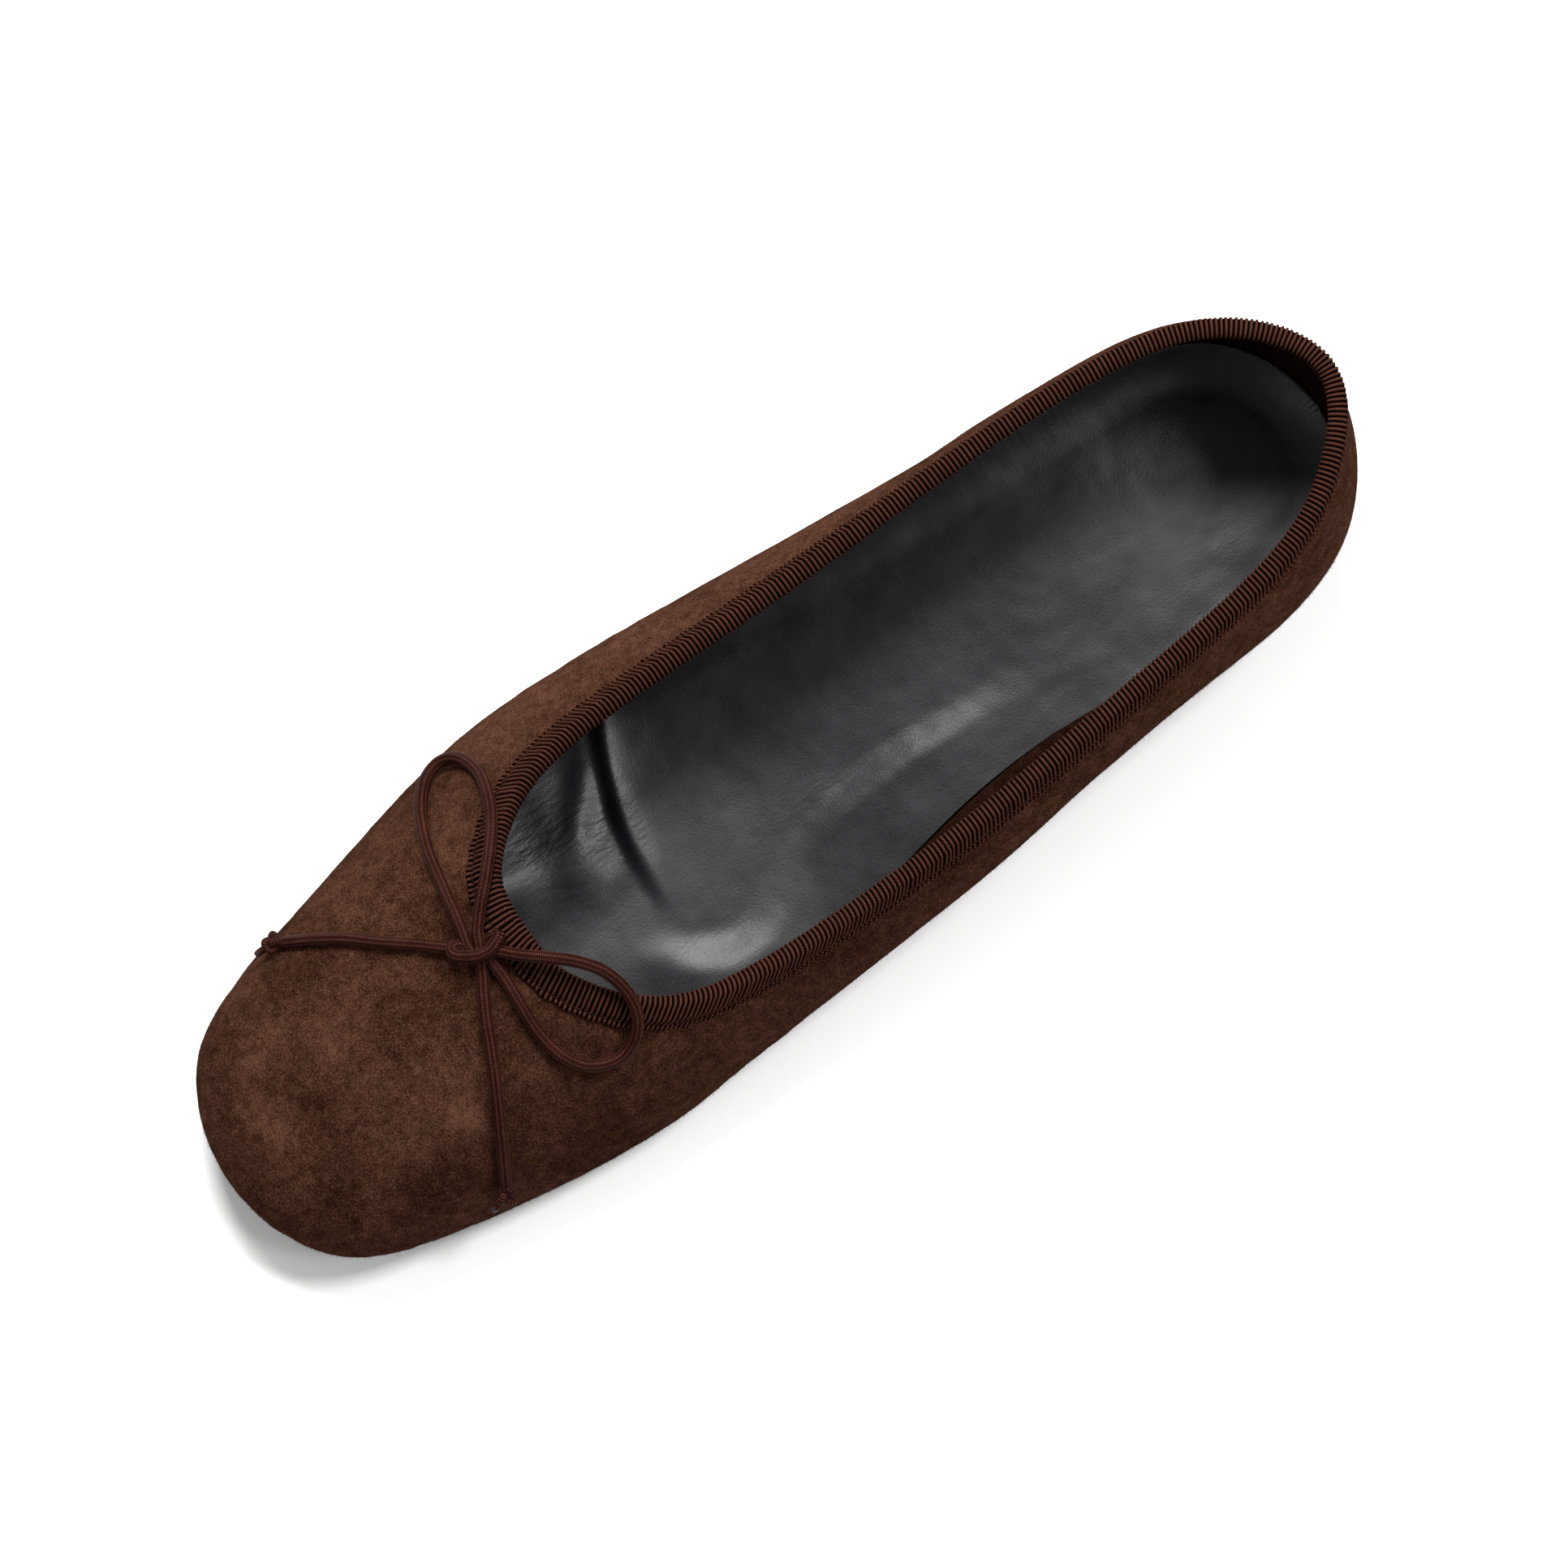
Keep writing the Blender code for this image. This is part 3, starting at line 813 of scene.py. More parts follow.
    def frames(self, rings: Array, shares: Array) -> tuple[Array, Array, Array]:
        """Points, outward normals and upward tangents of the wall's outer face.

        Args:
            rings: the wall's control rings.
            shares: shares of the way up, for all stations or a row for each.

        Returns:
            Three arrays of stations by shares by 3.
        """
        if shares.ndim == 1:
            shares = np.repeat(shares[None, :], rings.shape[1], axis=0)

        def surface(t: Array) -> Array:
            """Points at those shares.

            Args:
                t: shares of the way up, a row for each station.

            Returns:
                The points.
            """
            degree = len(rings) - 1
            weights = [
                math.comb(degree, k) * t**k * (1 - t) ** (degree - k) for k in range(degree + 1)
            ]
            return sum(w[:, :, None] * ring[:, None, :] for w, ring in zip(weights, rings))

        step = 1e-3
        points = surface(shares)
        up = surface(np.clip(shares + step, 0, 1)) - surface(np.clip(shares - step, 0, 1))
        onward = np.roll(points, -1, axis=0) - np.roll(points, 1, axis=0)
        normal = unit(np.cross(onward, up))
        away = (points[:, 0] - rings[0].mean(axis=0))[:, :2]
        normal *= math.copysign(1.0, (away * normal[:, 0, :2]).sum(1).mean())
        return points, normal, unit(up)

    def shares_below_top(self, rings: Array, distances: Sequence[float]) -> Array:
        """Shares of the way up at which the wall's face is that far below the topline.

        Args:
            rings: the wall's control rings.
            distances: distances along the face.

        Returns:
            A row of shares for each station.
        """
        fine = np.linspace(0, 1, 81)
        points = self.frames(rings, fine)[0]
        lengths = np.linalg.norm(np.diff(points, axis=1), axis=2)
        summed = np.cumsum(lengths[:, ::-1], axis=1)[:, ::-1]
        below = np.concatenate([summed, np.zeros((len(points), 1))], axis=1)
        return np.array([np.interp(distances, b[::-1], fine[::-1]) for b in below])


    def from_toe(self, points: Array) -> Array:
        """Distance of points behind the toe, in mm."""
        return (points[..., 1] + self.length / 2) / MM


LAST = Last()


# ------------------------------ the upper


@dataclass
class Upper:
    """Suede upper with its linings, soft troughs and ridges, and the nap that stands off it."""

    last: Last = LAST
    stations: int = 620
    outer_rows: int = 84
    inner_rows: int = 26
    binding_leg: float = 5.2 * MM
    # The lining over the arch pad: how far it is raised and filled out, where along the foot in
    # mm from the toe, and over which shares of the way up the wall.
    arch_pad: float = 3.0 * MM
    arch_fill: float = 2.6 * MM
    arch_start: tuple[float, float] = (106, 124)
    arch_end: tuple[float, float] = (172, 204)
    arch_low: tuple[float, float] = (0.04, 0.42)
    # The lining is black to here, in mm from the toe, on the inner and the outer side.
    black_inner: float = 104
    black_outer: float = 172
    # Slack of the suede: size of its marks and height, in mm, and seed.
    slack: tuple[tuple[float, float, float], ...] = ((17.0, 0.16, 3.1), (7.0, 0.07, 8.4))
    # Heights in mm: the pull of the stitches, the swell behind it, puckers, and gathers, which
    # start below a height over the floor and grow over a distance, both in metres.
    pull_depth: float = 0.20
    pull_swell: float = 0.12
    pucker: float = 0.16
    gather: float = 0.12
    gather_from: float = 0.016
    gather_fade: float = 0.008
    # The nap's fibres, and the few long ones, whose least and greatest length are in mm.
    fibres: int = 62000
    fibre_length: float = 0.24 * MM
    fibre_spread: float = 0.09 * MM
    fibre_width: float = 0.06 * MM
    fibre_lean: tuple[float, float, float] = (0.15, -0.35, -0.15)
    long_share: float = 0.006
    long_length: tuple[float, float] = (0.8, 1.4)
    long_width: float = 0.045 * MM
    # The wrinkled place of the black lining: x, from_toe, reach along both, in mm, and strength.
    lining_wrinkle: tuple[float, ...] = (-24, 150, 9, 24, 1.2)
    # Lies of the nap, some of them painted light and shade: x, from_toe, reach along x and along y,
    # in mm, and tone.
    nap_and_light_patches: tuple[tuple[float, ...], ...] = (
        # These two paint shade round the toe's rim.
        (-9.0, 7.0, 9.0, 5.0, -0.16),
        (0.0, 1.0, 26.0, 5.0, -0.08),
        (-9.8, 17.5, 3.0, 3.0, 0.50),
        (-5.9, 31.6, 6.0, 8.0, 0.30),
        (2.3, 13.2, 6.0, 2.6, 0.46),
        (2.0, 27.6, 10.0, 8.0, 0.18),
        (-17.1, 31.6, 4.0, 8.0, -0.32),
        (4.0, 21.3, 5.0, 4.0, -0.34),
        (10.2, 3.0, 6.0, 5.0, -0.08),
        (21.0, 15.0, 7.0, 5.0, -0.26),
        (27.7, 33.5, 5.5, 10.0, -0.50),
        (18.7, 43.2, 7.0, 3.2, 0.45),
        (22.7, 41.7, 3.0, 3.6, 0.30),
        (-7.3, 51.7, 3.2, 2.6, 0.30),
        (3.3, 52.7, 5.0, 5.0, -0.32),
        (22.4, 33.9, 4.0, 5.0, 0.26),
        (10.2, 62.0, 3.0, 3.0, 0.28),
        (-8.3, 58.6, 2.6, 3.4, -0.42),
        (-19.6, 47.5, 5.0, 8.0, 0.24),
        (26.7, 49.6, 5.0, 5.0, -0.30),
        (38.3, 63.0, 7.0, 12.0, -0.36),
        (-24.7, 62.0, 8.0, 9.0, 0.16),
        # These three paint light along the outer side and shade along the inner side.
        (-35.7, 99.6, 6.0, 26.0, 0.34),
        (-34.0, 150.0, 7.0, 30.0, 0.30),
        (34.0, 120.0, 6.0, 30.0, -0.26),
    )
    # Creases: x and from_toe of both ends and width, in mm, and height in mm.
    creases: tuple[tuple[float, ...], ...] = (
        (-26.0, 20.0, -12.0, 9.0, 3.2, -0.22),
        (-30.0, 34.0, -19.0, 22.0, 3.0, 0.18),
        (14.0, 38.0, 22.0, 47.0, 2.4, -0.30),
        (17.5, 37.0, 25.0, 44.0, 2.2, 0.26),
        (-4.0, 12.0, 8.0, 11.0, 2.6, 0.20),
        (0.0, 17.0, 12.0, 20.0, 3.0, -0.20),
        (-9.0, 57.0, -14.0, 50.0, 2.2, -0.24),
        (6.0, 58.0, 14.0, 52.0, 2.4, -0.22),
        (34.0, 70.0, 40.0, 92.0, 3.0, -0.30),
        (37.0, 66.0, 42.0, 84.0, 2.4, 0.22),
        (-30.0, 84.0, -37.0, 100.0, 3.0, -0.26),
        (-28.0, 74.0, -34.0, 88.0, 2.6, 0.20),
        (30.0, 150.0, 35.0, 172.0, 3.4, -0.26),
        (-29.0, 158.0, -33.0, 178.0, 3.4, -0.24),
    )

    def relief(self, points: Array, below: Array) -> Array:
        """How far the suede stands off the last.

        Args:
            points: points of the outer face.
            below: their distance below the topline, along the wall.

        Returns:
            A height in metres for each point.
        """
        x, u = points[:, 0] / MM, self.last.from_toe(points)
        height = sum(ripple(points, size * MM, seed) * rise for size, rise, seed in self.slack)
        for x0, u0, x1, u1, width, rise in self.creases:
            height += ridge(x, u, (x0, u0), (x1, u1), width) * rise
        edge = below / MM - self.binding_leg / MM
        pull = np.exp(-((edge / 1.1) ** 2)) * -self.pull_depth
        pull += np.exp(-(((edge - 2.6) / 1.6) ** 2)) * self.pull_swell
        near = np.exp(-np.maximum(edge, 0) / 3.2)
        pucker = ripple(points, 3.4 * MM, 21.0) * near * self.pucker
        seat = np.clip((points[:, 2] - self.gather_from) / self.gather_fade, 0, 1)
        upright = points * np.array([1.0, 1.0, 0.25])
        gathers = ripple(upright, 3.0 * MM, 40.0) * (1 - seat) * self.gather
        fade = smooth_step(below / MM, 0.0, 4.0)
        return (height + pull + gathers) * MM * fade + pucker * MM

    def nap_and_light(self, points: Array) -> Array:
        """Tone of the nap, with its painted light and shade, at each point, from the listed
        patches.
        """
        return hills(points[:, 0] / MM, self.last.from_toe(points), self.nap_and_light_patches)

    def build(self) -> bpy.types.Object:
        """The hollow upper: suede outside, brown and black linings inside.

        Returns:
            The upper.
        """
        last = self.last
        rings = last.rings(self.stations)
        shares = np.linspace(0, 1, self.outer_rows)
        points, normal, _ = last.frames(rings, shares)
        lengths = np.linalg.norm(np.diff(points, axis=1), axis=2)
        below = np.zeros(points.shape[:2])
        below[:, :-1] = np.cumsum(lengths[:, ::-1], axis=1)[:, ::-1]
        flat = points.reshape(-1, 3)
        lift = self.relief(flat, below.ravel()).reshape(points.shape[:2])
        outer = points + normal * lift[:, :, None]
        inner_points, inner_normal, _ = last.frames(rings, np.linspace(1, 0, self.inner_rows))
        inner_normal[:, -1, 2] = 0
        inner_normal[:, -1] = unit(inner_normal[:, -1])
        inner = inner_points - inner_normal * last.wall
        seat = last.from_toe(inner[:, -1])
        arch = smooth_step(seat, *self.arch_start) * (1 - smooth_step(seat, *self.arch_end))
        arch *= inner[:, -1, 0] > 0
        low = 1 - smooth_step(np.linspace(1, 0, self.inner_rows), *self.arch_low)
        padded = (arch[:, None] * low[None])[:, :-1, None]
        inner[:, :-1, 2] += self.arch_pad * padded[:, :, 0]
        inner[:, :-1] -= inner_normal[:, :-1] * self.arch_fill * padded
        section = np.concatenate([outer, inner], axis=1)
        rows, around = section.shape[:2]
        faces = grid_faces(rows, around, True, True)
        column = faces.min(axis=1) % around
        middle = section.reshape(-1, 3)[faces].mean(axis=1)
        from_toe = last.from_toe(middle)
        inside = (column >= self.outer_rows) & (column < around - 1)
        outer_side = middle[:, 0] < 0
        black = (from_toe < self.black_inner) | (outer_side & (from_toe < self.black_outer))
        choice = np.where(inside, np.where(black, 2, 1), 0)
        flat = section.reshape(-1, 3)
        wrinkle = hills(flat[:, 0] / MM, last.from_toe(flat), [self.lining_wrinkle])
        paint = {"nap_and_light": self.nap_and_light(flat), "wrinkle": wrinkle}
        mesh = Mesh(flat, faces, paint, choice).outward()
        materials = [SUEDE.material(), QUARTER_LINING.material(), BLACK_NAPPA.material()]
        self.suede, self.outer = materials[0], outer
        return add_piece("suede_upper", mesh, materials, ["upper"])

    def build_nap(self) -> bpy.types.Object:
        """Single fibres that stand off the suede, a few of them long.

        Returns:
            The fibres.
        """
        rng = np.random.default_rng(11)
        below_binding = int(self.outer_rows * 0.93)
        grid = self.outer[:, :below_binding]
        rows, columns = grid.shape[:2]
        count = self.fibres
        i = rng.integers(0, rows, count)
        j = rng.integers(3, columns - 1, count)
        s, t = rng.random((2, count, 1))
        n = (i + 1) % rows
        a, b, c = grid[i, j], grid[n, j], grid[i, j + 1]
        root = a + (b - a) * s + (c - a) * t
        away = unit(np.cross(b - a, c - a))
        away *= np.sign((away[:, :2] * (root - root.mean(0))[:, :2]).sum(1).mean())
        lean = rng.normal(size=(count, 3))
        way = unit(away * 0.8 + lean * 0.55 + np.array(self.fibre_lean))
        length = self.fibre_length + rng.gamma(2.0, self.fibre_spread, (count, 1))
        long_one = rng.random((count, 1)) < self.long_share
        long_length = rng.uniform(*self.long_length, (count, 1)) * MM
        length = np.where(long_one, long_length, length)
        width = np.where(long_one, self.long_width, self.fibre_width)
        beside = unit(np.cross(way, rng.normal(size=(count, 3)))) * width / 2
        root = root - away * 0.05 * MM
        points = np.stack([root - beside, root + beside, root + way * length], axis=1)
        faces = np.arange(count * 3).reshape(-1, 3)
        paint = {"nap_and_light": np.repeat(self.nap_and_light(root), 3)}
        return add_piece(
            "nap_fibres", Mesh(points.reshape(-1, 3), faces, paint), [self.suede]
        )


# ------------------------------ the binding


@dataclass
class RibLines:
    """Lines of points along the ribbon, one after the other across it.

    Crest is how much of a rib's height each point has, high the same with each rib's own height,
    and sunk how far the gaps between the ribs lie under the ribbon's face.
    """

    crest: Array
    high: Array
    sunk: float
    columns: list[Array] = field(default_factory=list)
    crests: list[Array] = field(default_factory=list)
    across: list[float] = field(default_factory=list)

    def add(
        self, base: Array, way: Array, offset: float, relief: float, run: float, press: Any = 0.0
    ) -> None:
        """Adds one line of points.

        Args:
            base: the line's points on the wall.
            way: directions off the wall.
            offset: height of the ribbon.
            relief: height of the ribs.
            run: distance across the ribbon.
            press: how far it is pressed in.
        """
        height = offset + (self.high * relief - self.sunk) - press
        self.columns.append(base + way * height[:, None])
        self.crests.append(self.crest)
        self.across.append(run)

    def add_flat(self, base: Array) -> None:
        """Adds one line without ribs, on the ribbon's hidden back.

        Args:
            base: the line's points.
        """
        self.columns.append(base)
        self.crests.append(np.zeros(len(base)))
        self.across.append(0.0)

    def mesh(self, lean: Array) -> Mesh:
        """The closed form of all the lines.

        Args:
            lean: where each point is on its rib, for the twist of the thread.

        Returns:
            The mesh.
        """
        section = np.stack(self.columns, axis=1)
        rows, around = section.shape[:2]
        paint = {
            "crest": np.stack(self.crests, axis=1).ravel(),
            "across": np.tile(self.across, rows),
            "lean": np.repeat(lean, around),
        }
        return Mesh(section.reshape(-1, 3), grid_faces(rows, around, True, True), paint).outward()


@dataclass
class Binding:
    """Ribbed ribbon folded over the topline and stitched down near its outer edge."""

    last: Last = LAST
    leg: float = 5.2 * MM
    thick: float = 0.8 * MM
    rib_pitch: float = 0.92 * MM
    rib_height: float = 0.36 * MM
    # Share of the ribs' height next to the outer edge, and half a rib's width in pitches.
    rib_low: float = 0.62
    crest_half: float = 0.37
    stitch_line: float = 1.15 * MM
    stitch_ribs: int = 5
    stitch_press: float = 0.30 * MM
    stitch_size: float = 0.15 * MM
    edge_drawn: float = 0.20 * MM
    # How much ribs stray along the topline, in mm, and differ in height, and their lean.
    wobble: float = 0.05
    uneven: float = 0.07
    lean_inner: float = 0.34
    lean_outer: float = 0.16
    fine: int = 4000
    # Places of the points on each rib, in pitches from its middle.
    steps: tuple[float, ...] = (-0.5, -0.37, -0.21, 0.0, 0.21, 0.37)
    # The fold over the topline, in half turns, and lines down the inside, in mm from its lower end.
    fold: tuple[float, ...] = (0.14, 0.29, 0.43, 0.57, 0.71, 0.86)
    inside: tuple[float, ...] = (5.2, 4.2, 3.0, 1.8, 0.6)
    # Height of the ribbon over the wall, in mm, at distances from its outer edge, in mm.
    profile: tuple[tuple[float, float], ...] = (
        (0.0, 0.46),
        (0.30, 0.74),
        (0.75, 0.68),
        (1.15, 0.34),
        (1.55, 0.70),
        (2.30, 0.94),
        (3.30, 1.02),
        (4.30, 1.06),
        (5.20, 1.10),
    )

    def build(self) -> bpy.types.Object:
        """The ribbon, every rib in its mesh.

        Returns:
            The ribbon.
        """
        last = self.last
        self.ribs = ribs = int(round(way_along(last.rings(720)[-1], True)[-1] / self.rib_pitch))
        rings = self.rings_at(self.even_places(ribs))
        distances = [self.leg - d * MM for d, _ in self.profile]
        points, normal, up = last.frames(rings, last.shares_below_top(rings, distances))
        steps = np.tile(self.steps, ribs)
        number = np.repeat(np.arange(ribs), len(self.steps))
        edge, out, rise = points[:, -1], normal[:, -1], up[:, -1]
        onward = unit(np.roll(edge, -1, axis=0) - np.roll(edge, 1, axis=0))
        side = np.sign(edge[:, :1])
        onward *= side * np.where(onward[:, 1:2] * side > 0, -1, 1)
        rng = np.random.default_rng(5)
        wobble = rng.normal(0, self.wobble, ribs)[number] * MM
        # The crest sets where the ribbon gets painted shade and a painted highlight.
        crest = np.sqrt(np.clip(1 - (np.abs(steps) / self.crest_half) ** 2, 0, 1))
        high = crest * (1 + rng.normal(0, self.uneven, ribs)[number])
        stitch = np.cos((number % self.stitch_ribs) * 2 * math.pi / self.stitch_ribs)
        slant = self.slant(edge)
        lines = RibLines(crest, high, self.rib_height * 0.75)

        def leaned(distance: float) -> Array:
            """How far the line at that distance from the outer edge is moved along the topline."""
            return (slant * self.run_on(distance) + wobble)[:, None] * onward

        for k, (distance, height) in enumerate(self.profile):
            near = math.exp(-(((distance * MM - self.stitch_line) / (0.30 * MM)) ** 2))
            press = near * self.stitch_press * (0.5 + 0.5 * stitch)
            strength = self.rib_height * (self.rib_low if distance < 1.0 else 1.0)
            drawn = up[:, k] * (self.edge_drawn * max(1 - distance / 1.2, 0.0) * stitch)[:, None]
            base = points[:, k] + leaned(distance * MM) + drawn
            lines.add(base, normal[:, k], height * MM, strength, distance * MM, press)
        self.add_inside(lines, rings, (edge, out, rise))
        bare = 0.05 * MM
        lines.add_flat(edge - out * (last.wall + bare) + rise * bare)
        lines.add_flat(edge + out * bare + rise * bare)
        lines.add_flat(points[:, 0] + leaned(0.0) + normal[:, 0] * 0.02 * MM)
        mesh, materials = lines.mesh(np.sin(2 * math.pi * steps)), [RIBBON.material()]
        return add_piece("ribbed_binding", mesh, materials, ["topline_binding"])

    def add_inside(self, lines: RibLines, rings: Array, top: tuple[Array, Array, Array]) -> None:
        """Adds the lines over the topline's fold and down the inside of the wall.

        Args:
            lines: the ribbon's lines so far.
            rings: the wall's control rings.
            top: points of the topline, their outward normals and upward tangents.
        """
        last, run = self.last, self.leg
        edge, out, rise = top
        outer = last.gap + self.thick
        half = (outer + last.wall + outer) / 2
        for turn in self.fold:
            angle = math.pi * turn
            way = out * math.cos(angle) + rise * math.sin(angle)
            shift = out * (outer - half + half * math.cos(angle))
            run += math.pi * half * 0.14
            base = edge + shift + rise * (outer * math.sin(angle))
            lines.add(base, way, 0.0, self.rib_height, run)
        shares = last.shares_below_top(rings, [self.leg - d * MM for d in self.inside])
        points, normal, _ = last.frames(rings, shares)
        for k in range(len(self.inside)):
            run += 1.1 * MM
            lines.add(points[:, k], -normal[:, k], last.wall + 1.0 * MM, self.rib_height, run)
        lines.add_flat(points[:, -1] - normal[:, -1] * (last.wall + 0.05 * MM))

    def run_on(self, distance: float) -> float:
        """How far across the ribbon the lean has run, most of it near the stitched edge."""
        return 0.35 * (self.leg - distance) + 1.6 * max(2.4 * MM - distance, 0.0)

    def slant(self, edge: Array) -> Array:
        """How far the ribs lean towards the toe, along each metre that the lean runs.

        Args:
            edge: points of the topline.

        Returns:
            The lean at each point.
        """
        from_toe = self.last.from_toe(edge)
        sides = smooth_step(from_toe, 72, 92) * (1 - smooth_step(from_toe, 205, 232))
        return sides * np.where(edge[:, 0] > 0, self.lean_inner, self.lean_outer)

    def even_places(self, ribs: int) -> Array:
        """Places round the last, from 0 to 1, for every step of ribs spread evenly."""
        number = np.repeat(np.arange(ribs), len(self.steps))
        return self.spread((number + 0.5 + np.tile(self.steps, ribs)) / ribs)[0]

    def spread(self, shares: Array) -> tuple[Array, float]:
        """Places round the last at shares of the topline's length, and that length.

        Args:
            shares: shares of the topline's length.

        Returns:
            The places and the length.
        """
        along = way_along(self.last.rings(self.fine)[-1], True)
        places = np.interp(shares * along[-1], along, np.arange(self.fine + 1) / self.fine)
        return places, along[-1]

    def rings_at(self, place: Array) -> Array:
        """The wall's control rings at those places.

        Args:
            place: places from 0 to 1.

        Returns:
            Five rings.
        """
        rings = self.last.rings(self.fine)
        at = place * self.fine
        low = at.astype(int) % self.fine
        part = (at - at.astype(int))[None, :, None]
        return rings[:, low] * (1 - part) + rings[:, (low + 1) % self.fine] * part

    def build_stitches(self) -> bpy.types.Object:
        """Thread stitches that press the ribbon down along a line near its outer edge.

        Returns:
            The stitches.
        """
        last, count = self.last, self.ribs // self.stitch_ribs * 2
        places, length = self.spread((np.arange(count) + 0.5) / count)
        rings = self.rings_at(places)
        share = last.shares_below_top(rings, [self.leg - self.stitch_line])
        points, normal, up = (a[:, 0] for a in last.frames(rings, share))
        onward = np.cross(normal, up)
        half = length / count * 0.40
        lengthwise, around = 7, 6
        turn = np.linspace(0, 2 * math.pi, around, endpoint=False)
        parts = []
        for step in np.linspace(-1, 1, lengthwise):
            size = self.stitch_size * math.sqrt(max(1 - step**4, 0.02))
            sink = 0.42 * MM - 0.24 * MM * step**4
            centre = points + onward * (half * step) + normal * sink
            parts.append(
                centre[:, None]
                + normal[:, None] * (np.cos(turn) * size)[None, :, None]
                + up[:, None] * (np.sin(turn) * size)[None, :, None]
            )
        flat = np.stack(parts, axis=1).reshape(-1, 3)
        start = np.arange(count)[:, None, None] * (lengthwise * around)
        faces = (start + grid_faces(lengthwise, around, False, True)[None]).reshape(-1, 4)
        mesh = Mesh(flat, faces, {"crest": np.full(len(flat), 0.75)})
        return add_piece("binding_stitches", mesh, [STITCH.material()])


# ------------------------------ the insole


@dataclass
class Insole:
    """Padded sock: a cushion from the ball back, a raised arch, edges that climb the wall."""

    last: Last = LAST
    thick: float = 3.2 * MM
    rows: int = 400
    columns: int = 112
    edge_share: float = 0.20
    cut_share: float = 0.015
    waist_cut: float = 2.5 * MM
    # All below are in mm: heights, x, and u, which is the distance from the toe.
    cushion: float = 0.8
    lip: float = 1.30
    lip_fall: float = 3.4
    crease: float = 0.15
    toe_swell: float = 1.25
    climb: float = 4.5
    front_ridge: float = 0.75
    bowl_rim: float = 1.9
    arch: float = 1.40
    heel_hollow: float = 0.9
    # Where the arch pad begins: u and x.
    arch_line: tuple[tuple[float, ...], ...] = (
        (100, 111, 121, 132, 155, 166, 185, 210),
        (18, 15.3, 10.0, 6.8, 7.1, 8.0, 9.5, 11),
    )
    # Wrinkled places: x, u, reach along x, reach along u and strength.
    wrinkles: tuple[tuple[float, ...], ...] = (
        (-13, 85, 11, 8, 1.5),
        (-8, 97, 9, 5, 1.1),
        (21, 102, 7, 8, 0.25),
        (6, 140, 4, 22, 0.5),
    )
    # Slow waves of the leather: size and height, and seed.
    waves: tuple[tuple[float, float, float], ...] = ((9.0, 0.14, 5.0), (3.2, 0.05, 15.0))

    def shape(self, x: Array, u: Array, edge: Array) -> Array:
        """Height of the leather over the insole's seat.

        Args:
            x: distance from the middle, in mm, larger towards the inner side.
            u: distance from the toe, in mm.
            edge: distance from the insole's own edge, in mm.

        Returns:
            Heights in mm.
        """
        outer_half = 1 - smooth_step(x, -6.0, 10.0)
        inner_half = 1 - outer_half
        behind = u - (95.8 + 0.0088 * (x - 2) ** 2)
        reach = 1.7 + 1.8 * smooth_step(x, -14.0, 6.0)
        start, end = -reach - 22.0 * inner_half, reach + 5.0 * inner_half
        height = self.cushion * smooth_step(behind, start, end)
        lip = smooth_step(behind, -1.7, 1.5) * np.exp(-np.maximum(behind - 0.8, 0) / self.lip_fall)
        height += self.lip * outer_half * lip
        height -= self.crease * outer_half * np.exp(-(((behind + 1.7) / 1.6) ** 2))
        swell = np.exp(-(((u - 87.5) / 5.5) ** 2))
        height += self.toe_swell * smooth_step(-x, -4.0, 8.0) * swell
        climb = smooth_step(edge, 3.0, 10.0) * smooth_step(u, 44, 64)
        height += self.climb * (1 - smooth_step(u, 68, 90)) * smooth_step(-x, 2.0, 14.0) * climb
        height -= 0.35 * hill(x, u, (0.0, 90.0), (3.6, 5.0))
        height += self.front_ridge * ridge(x, u, (-21.0, 96.0), (-15.0, 91.0), 2.6)
        rim = smooth_step(np.hypot(x - 5.7, u - 104.6), 9.5, 19.0) * smooth_step(x, 5.0, 15.0)
        height += self.bowl_rim * rim * hill(x, u, (24, 99), (20, 15))
        near = (-15, -7.5, 0, 7.5, 15)
        pad = sum(np.interp(u + step, *self.arch_line) for step in near) / len(near)
        arch = smooth_step(u, 108, 144) * (1 - smooth_step(u, 148, 182))
        height += arch * self.arch * smooth_step(x, pad - 3.4, pad + 3.6)
        height -= 0.5 * hill(x, u, (-4.0, 122.0), (15.0, 18.0))
        heel = hill(x, u, (-2.0, 218.0), (15.0, 22.0)) * smooth_step(u, 186, 226)
        height -= self.heel_hollow * heel
        waist = smooth_step(u, 100, 122) * (1 - smooth_step(u, 172, 214))
        side = 3.4 - 1.6 * smooth_step(x, -9, 9) - 1.8 * waist * smooth_step(x, 0, 9)
        return height + side * np.clip(1 - edge / 9.0, 0, 1) ** 2

    def border(self) -> tuple[Array, Array, Array]:
        """The insole's edge against the wall, cut back beside the arch.

        Returns:
            Its points in plan, and its outer and inner halves from toe to heel.
        """
        last = self.last
        count = 720
        rings = last.rings(count)
        from_toe = last.from_toe(rings[0])
        cut = smooth_step(from_toe, 104, 120) * (1 - smooth_step(from_toe, 172, 200))
        cut *= rings[0][:, 0] > 0
        share = self.edge_share - (self.edge_share - self.cut_share) * cut
        points, normal, _ = last.frames(rings, share[:, None])
        drawn_in = smooth_step(from_toe, 104, 132) * cut * self.waist_cut
        border = points[:, 0] - normal[:, 0] * (last.wall + 0.25 * MM + drawn_in)[:, None]
        border = border[:, :2]
        toe, heel = int(border[:, 1].argmin()), int(border[:, 1].argmax())
        turned = np.roll(border, -heel, axis=0)
        tip = (toe - heel) % count
        outer, inner = turned[: tip + 1][::-1], np.concatenate([turned[tip:], turned[:1]])
        return border, outer, inner

